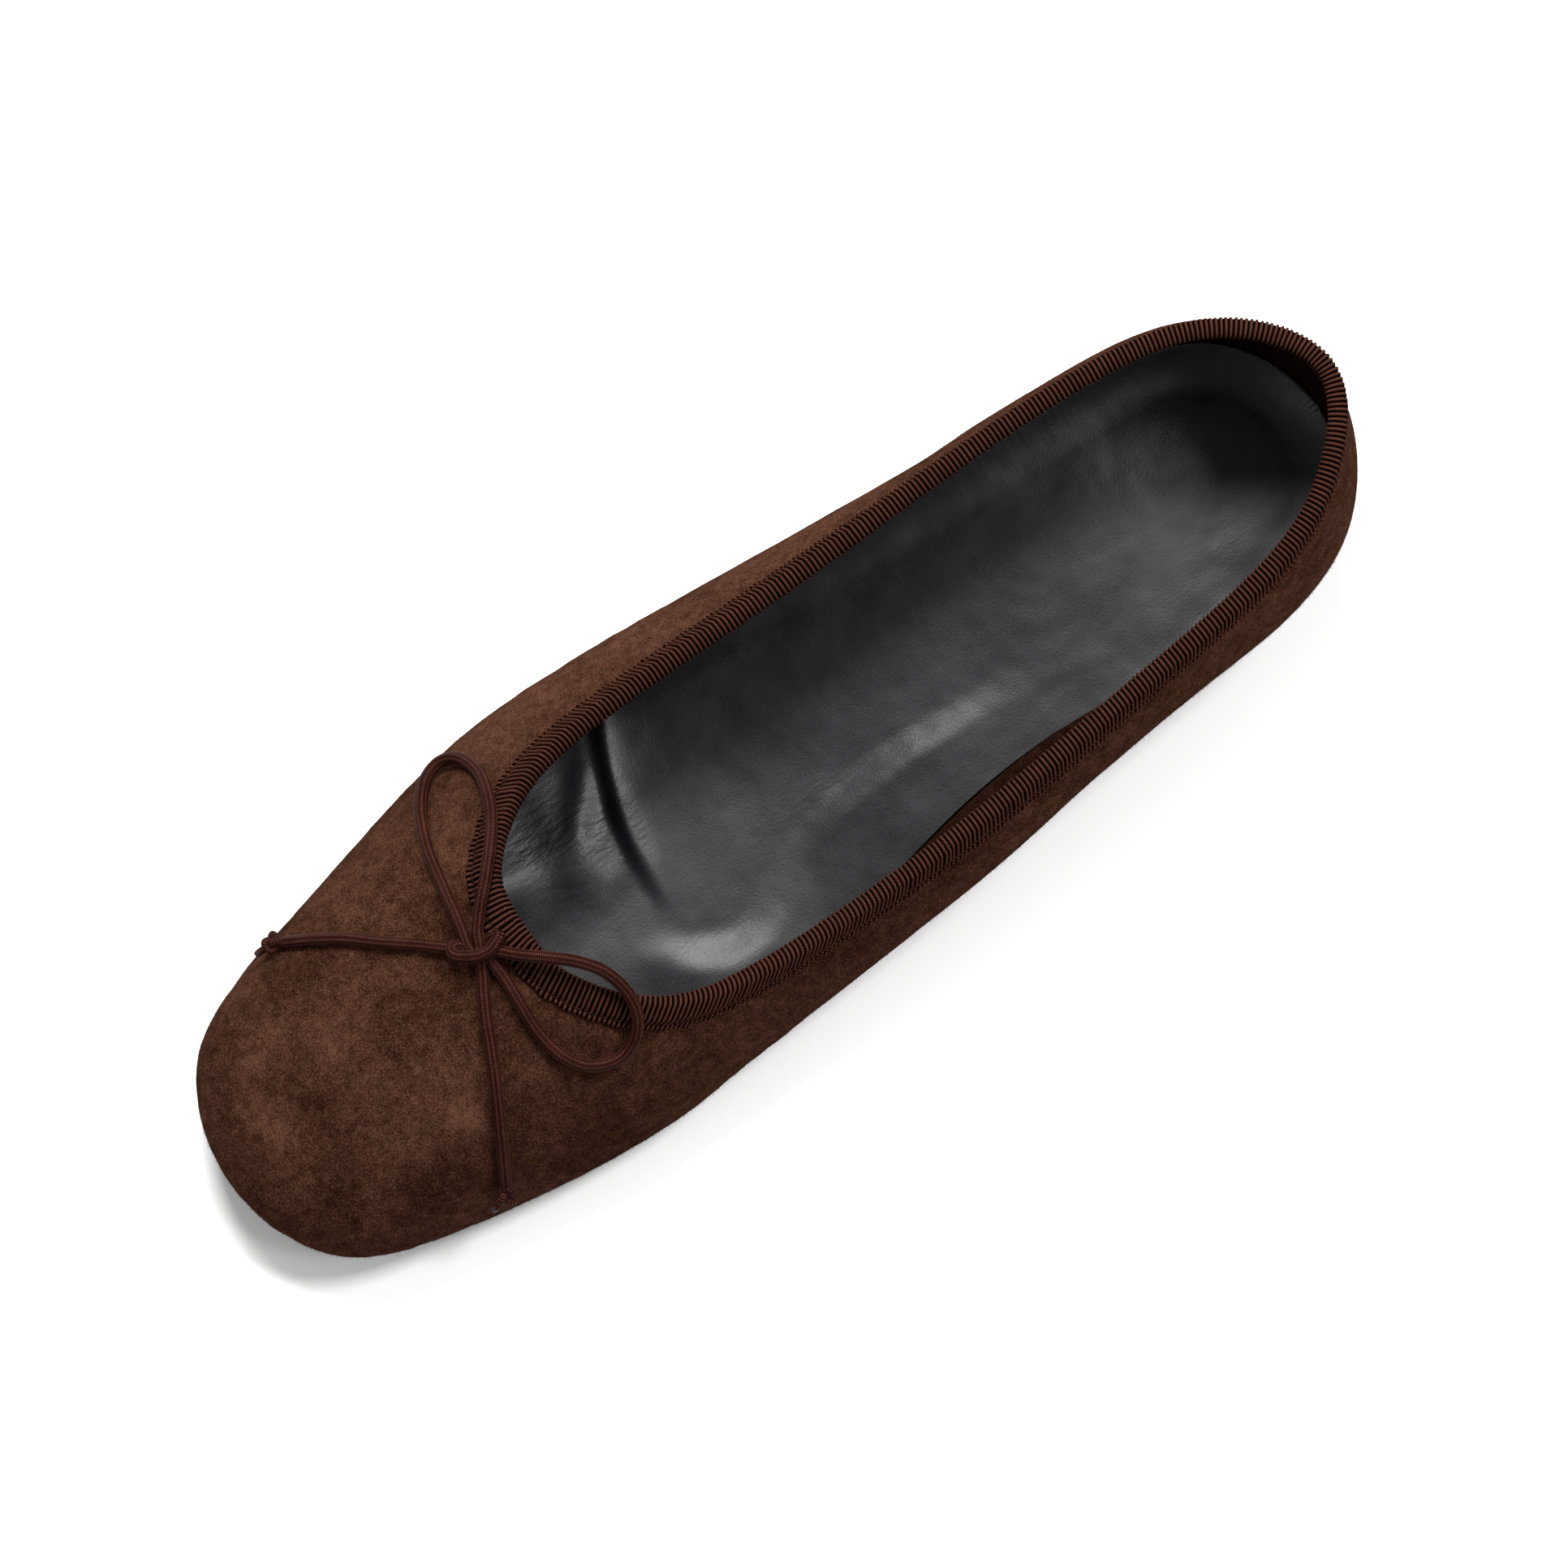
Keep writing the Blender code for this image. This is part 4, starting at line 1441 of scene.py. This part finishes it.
    def build(self) -> bpy.types.Object:
        """The sock as a closed form, laid against the inside of the wall.

        Returns:
            The sock.
        """
        last = self.last
        border, outer, inner = self.border()
        even = np.linspace(0, 1, self.rows)
        spread = (1 - np.cos(math.pi * even)) / 4 + even / 2
        y = outer[0, 1] + (outer[-1, 1] - outer[0, 1]) * spread
        left = np.interp(y, outer[:, 1], outer[:, 0])
        right = np.interp(y, inner[:, 1], inner[:, 0])
        share = (1 - np.cos(np.linspace(0, math.pi, self.columns))) / 2
        share = share * 0.45 + np.linspace(0, 1, self.columns) * 0.55
        x = left[:, None] + (right - left)[:, None] * share
        y = np.broadcast_to(y[:, None], x.shape)
        flat = np.column_stack([x.ravel(), y.ravel()])
        edge = np.min([np.hypot(*(flat - place).T) for place in border[::2]], axis=0) / MM
        u = flat[:, 1] + last.length / 2
        x_mm, u_mm = flat[:, 0] / MM, u / MM
        seat = last.under(u) + last.sole_thick + last.gap
        level = np.column_stack([flat, np.zeros(len(flat))])
        wave = sum(ripple(level, size * MM, seed) * rise for size, rise, seed in self.waves)
        top = seat + self.thick + self.shape(x_mm, u_mm, edge) * MM + wave * MM
        upper_face = np.column_stack([flat, top])
        body = (1.1 + 9.0 * smooth_step(edge, 3.0, 14.0)) * MM
        lower_face = np.column_stack([flat * 0.999, np.maximum(seat + 0.2 * MM, top - body)])
        rows, columns = x.shape
        faces = grid_faces(rows, columns)
        below = faces[:, ::-1] + rows * columns
        index = np.arange(rows * columns).reshape(rows, columns)
        rim = np.concatenate([index[0], index[1:, -1], index[-1, -2::-1], index[-2:0:-1, 0]])
        after = np.roll(rim, -1)
        wall = np.column_stack([rim, after, after + rows * columns, rim + rows * columns])
        mesh = Mesh(
            np.concatenate([upper_face, lower_face]),
            np.concatenate([faces, below, wall]),
            {"wrinkle": np.tile(hills(x_mm, u_mm, self.wrinkles), 2)},
        ).outward()
        materials = [BLACK_NAPPA.material()]
        made = add_piece("padded_sock", mesh, materials, ["insole"], 60)
        return made


# ------------------------------ the sole and heel


@dataclass
class Sole:
    """Thin leather outsole, low stacked heel and its rubber top piece."""

    last: Last = LAST
    inset: float = 0.6 * MM
    edge_round: float = 0.7 * MM
    heel_length: float = 52.0 * MM
    heel_inset: float = 1.2 * MM
    heel_round: float = 0.4 * MM
    top_piece: float = 2.5 * MM
    sharp: float = 50

    def outline(self, inset: float, start: float, count: int = 260) -> Array:
        """The feather line drawn in by inset, cut off straight in front of start.

        Args:
            inset: how far inside the feather line.
            start: least distance from the toe.
            count: number of points round the outline.

        Returns:
            Points of a closed outline, in plan.
        """
        ring = self.last.rings(900)[0][:, :2]
        ring = ring + inward_of(ring, ring.mean(axis=0)) * inset
        limit = start - self.last.length / 2
        keep = ring[:, 1] >= limit
        if not keep.all():
            first = int(np.flatnonzero(keep & ~np.roll(keep, 1))[0])
            rolled = np.roll(ring, -first, axis=0)[: int(keep.sum())]
            rolled[0, 1] = rolled[-1, 1] = limit
            bridge = np.linspace(rolled[-1], rolled[0], 40)[1:-1]
            ring = np.concatenate([rolled, bridge])
        closed = np.concatenate([ring, ring[:1]])
        run = way_along(closed)
        at = np.linspace(0, run[-1], count, endpoint=False)
        return np.column_stack([np.interp(at, run, closed[:, k]) for k in range(2)])

    def plate(
        self,
        outline: Array,
        top: Callable[[Array], Array],
        bottom: Callable[[Array], Array],
        soft: float,
    ) -> Mesh:
        """A plate with rounded edges.

        Args:
            outline: its outline in plan.
            top: height of its upper face from the distance behind the toe.
            bottom: height of its lower face, in the same way.
            soft: radius of its edges.

        Returns:
            The mesh.
        """
        centre = outline.mean(axis=0)
        inward = inward_of(outline, centre)
        spine_end = 0.02
        low, high = outline[:, 1].min() + spine_end, outline[:, 1].max() - spine_end
        spine = np.full(len(outline), centre[0])
        heart = np.column_stack([spine, np.clip(outline[:, 1], low, high)])

        def face(level: Callable[[Array], Array], sign: float) -> list[Array]:
            """Rings of one face from its middle out and round the edge.

            Args:
                level: height of the face.
                sign: 1 if the edge rounds upwards, -1 if it rounds down.

            Returns:
                The rings.
            """
            flats = [(outline + (heart - outline) * s, 0.0) for s in (1.0, 0.66, 0.33, 0.10)]
            for angle in (90, 60, 30, 0):
                a = math.radians(angle)
                flat = outline + inward * soft * (1 - math.cos(a))
                flats.append((flat, sign * soft * (1 - math.sin(a))))
            half = self.last.length / 2
            return [np.column_stack([f, level(f[:, 1] + half) + shift]) for f, shift in flats]

        rings = face(top, -1) + face(bottom, 1)[::-1]
        faces = grid_faces(len(rings), len(outline), False, True)
        mesh = Mesh(np.concatenate(rings), faces)
        mesh.paint["wrinkle"] = np.zeros(len(mesh.points))
        return mesh.outward()

    def build(self) -> list[bpy.types.Object]:
        """Outsole, heel block and top piece.

        Returns:
            The three pieces.
        """
        last, low = self.last, self.top_piece
        breast = last.length - self.heel_length
        heel_in, piece_in = self.inset + self.heel_inset, self.edge_round
        outsole = self.plate(
            self.outline(self.inset, -1.0),
            lambda u: last.under(u) + last.sole_thick,
            last.under,
            self.edge_round,
        )
        block = self.plate(
            self.outline(heel_in, breast, 200),
            lambda u: last.under(u) - last.gap,
            lambda u: np.full_like(u, low + last.gap),
            self.heel_round,
        )
        piece = self.plate(
            self.outline(heel_in + piece_in, breast + piece_in, 200),
            lambda u: np.full_like(u, low),
            np.zeros_like,
            self.heel_round,
        )
        rows = (
            ("leather_outsole", outsole, SOLE_LEATHER, "sole_leather", "outsole"),
            ("stacked_heel", block, HEEL_LIFTS, "heel_stack", "heel_block"),
            ("heel_lift", piece, HEEL_RUBBER, "heel_rubber", "heel_top_piece"),
        )
        return [
            add_piece(name, mesh, [finish.material()], [node], self.sharp)
            for name, mesh, finish, slot, node in rows
        ]


# ------------------------------ the bow


@dataclass
class Bow:
    """Tied bow of round elastic cord: two loops, two knotted ends and the wrap that holds them."""

    last: Last = LAST
    diameter: float = 2.3 * MM
    columns: int = 8
    row_pitch: float = 0.36 * MM
    around: int = 24
    # Routes: x, from_toe and the least height of the centre, in mm. Both ends are under the wrap.
    routes: dict[str, tuple[tuple[float, float, float], ...]] = field(
        default_factory=lambda: {
            "bow_loop_outer": (
                (-0.2, 59.8, 0.0), (-2.9, 59.8, 0.0), (-7.5, 60.9, 0.0), (-16.6, 62.6, 0.0),
                (-23.1, 64.2, 0.0), (-29.9, 67.2, 0.0), (-34.5, 70.9, 0.0), (-36.1, 74.6, 0.0),
                (-35.1, 77.6, 0.0), (-32.1, 79.2, 0.0), (-27.7, 79.3, 0.0), (-21.9, 77.4, 0.0),
                (-17.2, 74.6, 0.0), (-11.5, 69.8, 0.0), (-7.2, 65.6, 0.0), (-3.9, 62.8, 0.0),
                (-1.6, 61.7, 0.0), (0.3, 60.7, 0.0),
            ),
            "bow_loop_inner": (
                (0.2, 61.2, 38.0), (0.8, 62.7, 39.5), (1.6, 64.0, 41.0), (4.4, 66.5, 43.0),
                (8.0, 70.5, 44.5), (11.4, 74.2, 44.7), (15.5, 77.3, 43.7), (20.3, 78.7, 41.8),
                (24.3, 78.2, 39.5), (27.2, 76.0, 36.5), (28.6, 72.4, 32.0), (28.0, 68.7, 26.0),
                (26.4, 65.8, 16.0), (23.6, 63.5, 0.0), (19.8, 62.1, 0.0), (15.3, 61.6, 0.0),
                (10.7, 61.8, 0.0), (5.8, 62.0, 0.0), (3.2, 61.9, 0.0), (1.6, 61.8, 0.0),
                (-0.6, 61.5, 0.0),
            ),
            "bow_end_outer": (
                (-0.8, 59.6, 0.0), (-2.4, 58.5, 0.0), (-4.3, 56.9, 0.0), (-7.8, 53.2, 0.0),
                (-12.6, 47.6, 0.0), (-17.2, 42.8, 0.0), (-21.0, 38.0, 0.0), (-24.6, 33.0, 0.0),
            ),
            "bow_end_inner": (
                (-1.6, 61.5, 0.0), (0.0, 60.8, 0.0), (3.0, 59.2, 0.0), (9.0, 55.8, 0.0),
                (15.0, 53.0, 0.0), (21.0, 50.0, 0.0), (30.9, 44.6, 0.0), (35.2, 42.1, 0.0),
            ),
        }
    )
    # The wrap over the strands: x, from_toe and height over a cord that lies on the suede, in mm.
    wrap: tuple[tuple[float, float, float], ...] = (
        (-1.0, 60.2, -0.5), (-2.8, 59.2, -0.1), (-3.9, 58.2, 0.6), (-3.7, 57.1, 1.3),
        (-2.4, 57.0, 1.9), (-0.8, 58.7, 2.25), (0.2, 60.5, 2.35), (0.5, 62.5, 2.1),
        (0.0, 64.3, 1.2), (-0.7, 65.3, 0.3), (-1.2, 64.6, -0.5), (-1.0, 63.0, -0.7),
    )
    # The threads of the cover, in mm, then the rounds of easing and how far the cord settles.
    bulge: float = 0.030
    strand: float = 0.075
    sunk: float = 0.060
    stiff: int = 40
    settle: float = 0.15 * MM
    # The stop knot, its tail and the tip: radii and distances along the tail, in mm.
    knot_radius: float = 0.70
    knot_thread: float = 0.8
    knot_around: int = 14
    knot_size: tuple[float, float, float] = (0.52, 0.56, 0.80)
    entry: tuple[float, ...] = (1.10, 0.95, 0.70)
    tail: tuple[tuple[float, ...], ...] = ((0.6, 1.6, 2.6, 3.3), (0.70, 0.72, 0.70, 0.66))
    tip: tuple[tuple[float, ...], ...] = ((3.2, 3.6, 4.0), (0.68, 0.66, 0.45))

    def curve(self, rows: Sequence[Sequence[float]], step: float) -> Array:
        """Evenly spread points on a smooth open curve through the rows.

        Args:
            rows: places that it runs through.
            step: distance between points.

        Returns:
            The points.
        """
        knots = np.array(rows, float)
        first, last = 2 * knots[:1] - knots[1:2], 2 * knots[-1:] - knots[-2:-1]
        padded = np.concatenate([first, knots, last])
        fine = []
        for i in range(1, len(padded) - 2):
            before, start, end, after = padded[i - 1 : i + 3]
            for t in np.linspace(0, 1, 24, endpoint=False):
                square = (2 * before - 5 * start + 4 * end - after) * t**2
                cube = (3 * start - before - 3 * end + after) * t**3
                fine.append(0.5 * (2 * start + (end - before) * t + square + cube))
        line = np.array(fine + [knots[-1]])
        run = way_along(line)
        at = np.linspace(0, run[-1], max(8, int(round(run[-1] / step))))
        return np.column_stack([np.interp(at, run, line[:, k]) for k in range(line.shape[1])])

    def rest_height(self, tree: BVHTree, x: float, y: float, lowest: float = 0.0) -> float:
        """Height of the cord's centre when it is lowered at a place until it touches the shoe.

        Args:
            tree: search tree of the shoe.
            x: the place's x.
            y: the place's y.
            lowest: least height.

        Returns:
            The height.
        """
        z, clearance, touching = self.last.back_height * 1.4, self.diameter / 2, 2e-6
        for _ in range(60):
            away = tree.find_nearest(Vector((x, y, z)))[3]
            if away - clearance < touching or z <= lowest:
                break
            z -= away - clearance
        return max(z, lowest)

    def laid(self, rows: Sequence[Sequence[float]], tree: BVHTree) -> Array:
        """Centre points of a cord laid on the shoe: it bridges hollows and eases over edges.

        Args:
            rows: the route.
            tree: search tree of the shoe.

        Returns:
            The centre points.
        """
        line = self.curve(np.array(rows) * MM, 0.8 * MM)
        y = line[:, 1] - self.last.length / 2
        z = np.array([self.rest_height(tree, *at) for at in zip(line[:, 0], y, line[:, 2])])
        floor = z - self.settle
        for _ in range(self.stiff):
            z[1:-1] = np.maximum(floor[1:-1], (z[:-2] + z[1:-1] * 2 + z[2:]) / 4)
        return np.column_stack([line[:, 0], y, z])

    def over_suede(self, rows: Sequence[Sequence[float]], tree: BVHTree) -> Array:
        """Places near the knot, given in mm over the suede, as points in the frame.

        Args:
            rows: places and heights.
            tree: search tree of the shoe.

        Returns:
            The points.
        """
        points = []
        for x, u, height in rows:
            y = u * MM - self.last.length / 2
            z = self.rest_height(tree, x * MM, y)
            points.append((x * MM, y, z + height * MM))
        return np.array(points)

    def tube(
        self, path: Array, radius: float | Array, thread: float = 1.0, round_points: int = 0
    ) -> Mesh:
        """A covered cord along a path, with the threads of its cover in its mesh.

        Args:
            path: points of its centreline.
            radius: its radius, or one for each point of the path.
            thread: strength of the threads.
            round_points: points round it, or 0 for the usual number.

        Returns:
            The mesh, closed at both ends.
        """
        around = round_points or self.around
        line = self.curve(path, self.row_pitch / 4)
        run, steps = way_along(line), way_along(path)
        radii = np.broadcast_to(radius, len(path))
        size = np.interp(run / run[-1], steps / steps[-1], radii)
        ahead = unit(np.gradient(line, axis=0))
        beside = np.zeros_like(line)
        guide = np.cross(ahead[0], (0.0, 0.0, 1.0))
        for k, way in enumerate(ahead):
            guide = unit(guide - way * guide.dot(way))
            beside[k] = guide
        above = np.cross(ahead, beside)
        turn = np.linspace(0, 2 * math.pi, around, endpoint=False)
        place = (turn * self.columns / (2 * math.pi)) % 1.0
        local = 2 * np.abs(place - 0.5)
        rows = run[:, None] / self.row_pitch + (0.75 * local)[None, :]
        strand = 0.5 + 0.5 * np.cos(2 * math.pi * rows)
        bulge = 1 - local**2
        # The crest sets where the cord gets painted shade and a painted highlight, most at the
        # middle of each strand.
        crest = strand * (0.45 + 0.55 * bulge[None, :])
        relief = (bulge * self.bulge + strand * self.strand - self.sunk) * MM * thread
        reach = size[:, None] + relief
        points = (
            line[:, None]
            + beside[:, None] * (reach * np.cos(turn))[:, :, None]
            + above[:, None] * (reach * np.sin(turn))[:, :, None]
        )
        count = len(line)
        flat = np.concatenate([points.reshape(-1, 3), line[:1], line[-1:]])
        faces = grid_faces(count, around, False, True)
        j = np.arange(around)
        k = (j + 1) % around
        first, final = np.full(around, count * around), np.full(around, count * around + 1)
        end = (count - 1) * around
        caps = np.concatenate(
            [
                np.column_stack([first, j, k, first]),
                np.column_stack([final, end + k, end + j, final]),
            ]
        )
        paint = {"crest": np.concatenate([crest.ravel(), [0.3, 0.3]])}
        self.line = line
        return Mesh(flat, np.concatenate([faces, caps]), paint)

    def stop_knot(self, centre: Array, way: Array, out: Array) -> Mesh:
        """A small overhand knot pulled tight.

        Args:
            centre: the knot's middle.
            way: the direction of the cord that runs into it.
            out: the direction away from the suede.

        Returns:
            The mesh.
        """
        side = unit(np.cross(out, way))
        out = np.cross(way, side)
        wide, long, high = self.knot_size
        t = np.linspace(0, 2 * math.pi, 60)
        a = (np.sin(t) + 2 * np.sin(2 * t)) * wide * MM
        b = (np.cos(t) - 2 * np.cos(2 * t)) * long * MM
        c = -np.sin(3 * t) * high * MM
        path = centre + a[:, None] * side + b[:, None] * way + c[:, None] * out
        return self.tube(path, self.knot_radius * MM, self.knot_thread, self.knot_around)

    def build(self, supports: Sequence[bpy.types.Object]) -> list[bpy.types.Object]:
        """All the bow's pieces, laid on the upper and the binding.

        Args:
            supports: what the cord lies on.

        Returns:
            The pieces.
        """
        tree = search_tree(supports)
        cover, melted = CORD_COVER.material(), SEALED_TIP.material()
        wrap_line = self.curve(self.over_suede(self.wrap, tree), 0.4 * MM)
        wrap = self.tube(wrap_line, self.diameter / 2)
        knot = add_piece("bow_wrap", wrap, [cover], ["bow_knot"])
        made = [knot]
        for name, rows in self.routes.items():
            path = self.laid(rows, tree)
            side = Side.OUTER if name.endswith("outer") else Side.INNER
            if "end" in name:
                path[-1, 2] += 0.6 * MM
                made += self.dress_end(name, side, path, tree, cover, melted)
            else:
                mesh = self.tube(path, self.diameter / 2)
                piece = add_piece(f"cord_loop_{side.value}", mesh, [cover], [name])
                made.append(piece)
        return made

    def dress_end(
        self,
        name: str,
        side: Side,
        path: Array,
        tree: BVHTree,
        cover: bpy.types.Material,
        melted: bpy.types.Material,
    ) -> list[bpy.types.Object]:
        """A free end with its stop knot and sealed tip.

        Args:
            name: the CAD node of the end.
            side: the side it lies on.
            path: its centreline.
            tree: search tree of what it lies on.
            cover: the cord's cover.
            melted: the sealed tip.

        Returns:
            Its pieces.
        """
        way = unit(path[-1] - path[-3])
        centre = path[-1] + way * 1.5 * MM
        near = tree.find_nearest(Vector(centre))
        out = unit(np.array(centre) - np.array(near[0]))
        centre = centre + out * max(2.0 * MM - near[3], 0.0)
        path = np.concatenate([path, centre[None]])
        thin = np.full(len(path), self.diameter / 2)
        thin[-len(self.entry):] = np.array(self.entry) * MM
        where = side.value
        end = add_piece(f"cord_end_{where}", self.tube(path, thin), [cover], [name])
        line = self.line
        knot = self.stop_knot(centre, way, out)
        stop = add_piece(f"stop_knot_{where}", knot, [cover], [f"bow_stop_{where}"])
        bend = np.cross(out, way) * (0.55 if side is Side.OUTER else -0.75)
        tail_way = unit(way * 0.8 + bend - out * 0.15)
        made = [end, stop]
        rows = (
            ("cord_tail", self.tail, self.knot_thread, cover),
            ("cord_tip", self.tip, 0.2, melted),
        )
        for label, (distances, radii), thread, finish in rows:
            points = np.array([centre + tail_way * d * MM for d in distances])
            mesh = self.tube(points, np.array(radii) * MM, thread, self.knot_around)
            made.append(add_piece(f"{label}_{where}", mesh, [finish]))
        self.line = line
        return made


# ------------------------------ the studio


@dataclass
class Studio:
    """Pale floor, soft light from the outer side, and the camera above the shoe.

    Each light has a name, a direction from the shoe, the width of its box and its power.
    """

    azimuth: float = 56.0
    elevation: float = 80.0
    distance: float = 1.60
    frame_width: float = 0.285
    aim: tuple[float, float, float] = (0.002, 0.0, 0.022)
    sensor: float = 36.0
    floor_colour: Colour = (0.93, 0.93, 0.93)
    floor_half: float = 8.0
    sky: float = 0.40
    light_distance: float = 1.5
    lights: tuple[tuple[str, Colour, float, float], ...] = (
        ("key_box", (-0.68, 0.30, 1.0), 0.6, 40.0),
        ("back_box", (0.12, 0.60, 1.0), 0.34, 16.0),
        ("side_box", (0.45, 0.33, 0.85), 0.28, 3.0),
        ("toe_box", (-0.20, -1.0, 0.75), 0.7, 3.5),
    )

    def aimed(self, made: bpy.types.Object, back: Vector) -> None:
        """Turns an object to look against the direction back, and adds it to the scene.

        Args:
            made: a camera or a light.
            back: the way from the shoe to it.
        """
        made.rotation_mode = "QUATERNION"
        made.rotation_quaternion = (-back).to_track_quat("-Z", "Y")
        bpy.context.scene.collection.objects.link(made)

    def camera(self) -> None:
        """The camera at the photograph's angle to the shoe."""
        a, e = math.radians(self.azimuth), math.radians(self.elevation)
        back = Vector((math.sin(a) * math.cos(e), -math.cos(a) * math.cos(e), math.sin(e)))
        data = bpy.data.cameras.new("camera")
        data.sensor_width = self.sensor
        data.lens = self.sensor * self.distance / self.frame_width
        data.clip_start, data.clip_end = 0.05, 20.0
        made = bpy.data.objects.new("camera", data)
        made.location = Vector(self.aim) + back * self.distance
        self.aimed(made, back)
        bpy.context.scene.camera = made

    def light(self, name: str, way: Colour, size: float, power: float) -> None:
        """A square soft box that looks at the shoe from that direction.

        Args:
            name: the light's name.
            way: the way from the shoe to it.
            size: width of the box.
            power: power in watts.
        """
        data = bpy.data.lights.new(name, "AREA")
        data.shape, data.size, data.energy = "SQUARE", size, power
        made = bpy.data.objects.new(name, data)
        direction = Vector(way).normalized()
        made.location = direction * self.light_distance
        self.aimed(made, direction)

    def build(self) -> None:
        """Camera, floor, world and lights."""
        self.camera()
        half = self.floor_half
        data = bpy.data.meshes.new("studio_floor")
        square = [(-half, -half, 0.0), (half, -half, 0.0), (half, half, 0.0), (-half, half, 0.0)]
        data.from_pydata(square, [], [(0, 1, 2, 3)])
        shader = Shader("studio_paper", Specular_IOR_Level=0.1)
        data.materials.append(shader.finish(self.floor_colour, 0.9))
        floor = bpy.data.objects.new("studio_floor", data)
        bpy.context.scene.collection.objects.link(floor)
        world = bpy.data.worlds.new("studio_world")
        world.use_nodes = True
        background = world.node_tree.nodes["Background"]
        background.inputs["Color"].default_value = (1.0, 1.0, 1.0, 1.0)
        background.inputs["Strength"].default_value = self.sky
        bpy.context.scene.world = world
        bpy.context.scene.view_settings.view_transform = "Standard"
        for row in self.lights:
            self.light(*row)


def corners(box: Any) -> list[list[float]]:
    """A box's two corners as plain lists."""
    return [[float(c) for c in corner] for corner in box]


def main() -> None:
    """Builds the shoe's pieces in order and reports each."""
    logging.basicConfig(level=logging.INFO, format="%(name)s: %(message)s")
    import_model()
    Studio().build()
    upper, binding = Upper(), Binding()
    supports = [upper.build(), binding.build()]
    pieces = [*supports, upper.build_nap(), binding.build_stitches(), Insole().build()]
    pieces += Sole().build()
    pieces += Bow().build(supports)
    for piece in pieces:
        LOG.info("%s: %d faces", piece.name, len(piece.data.polygons))


if __name__ == "__main__":
    main()
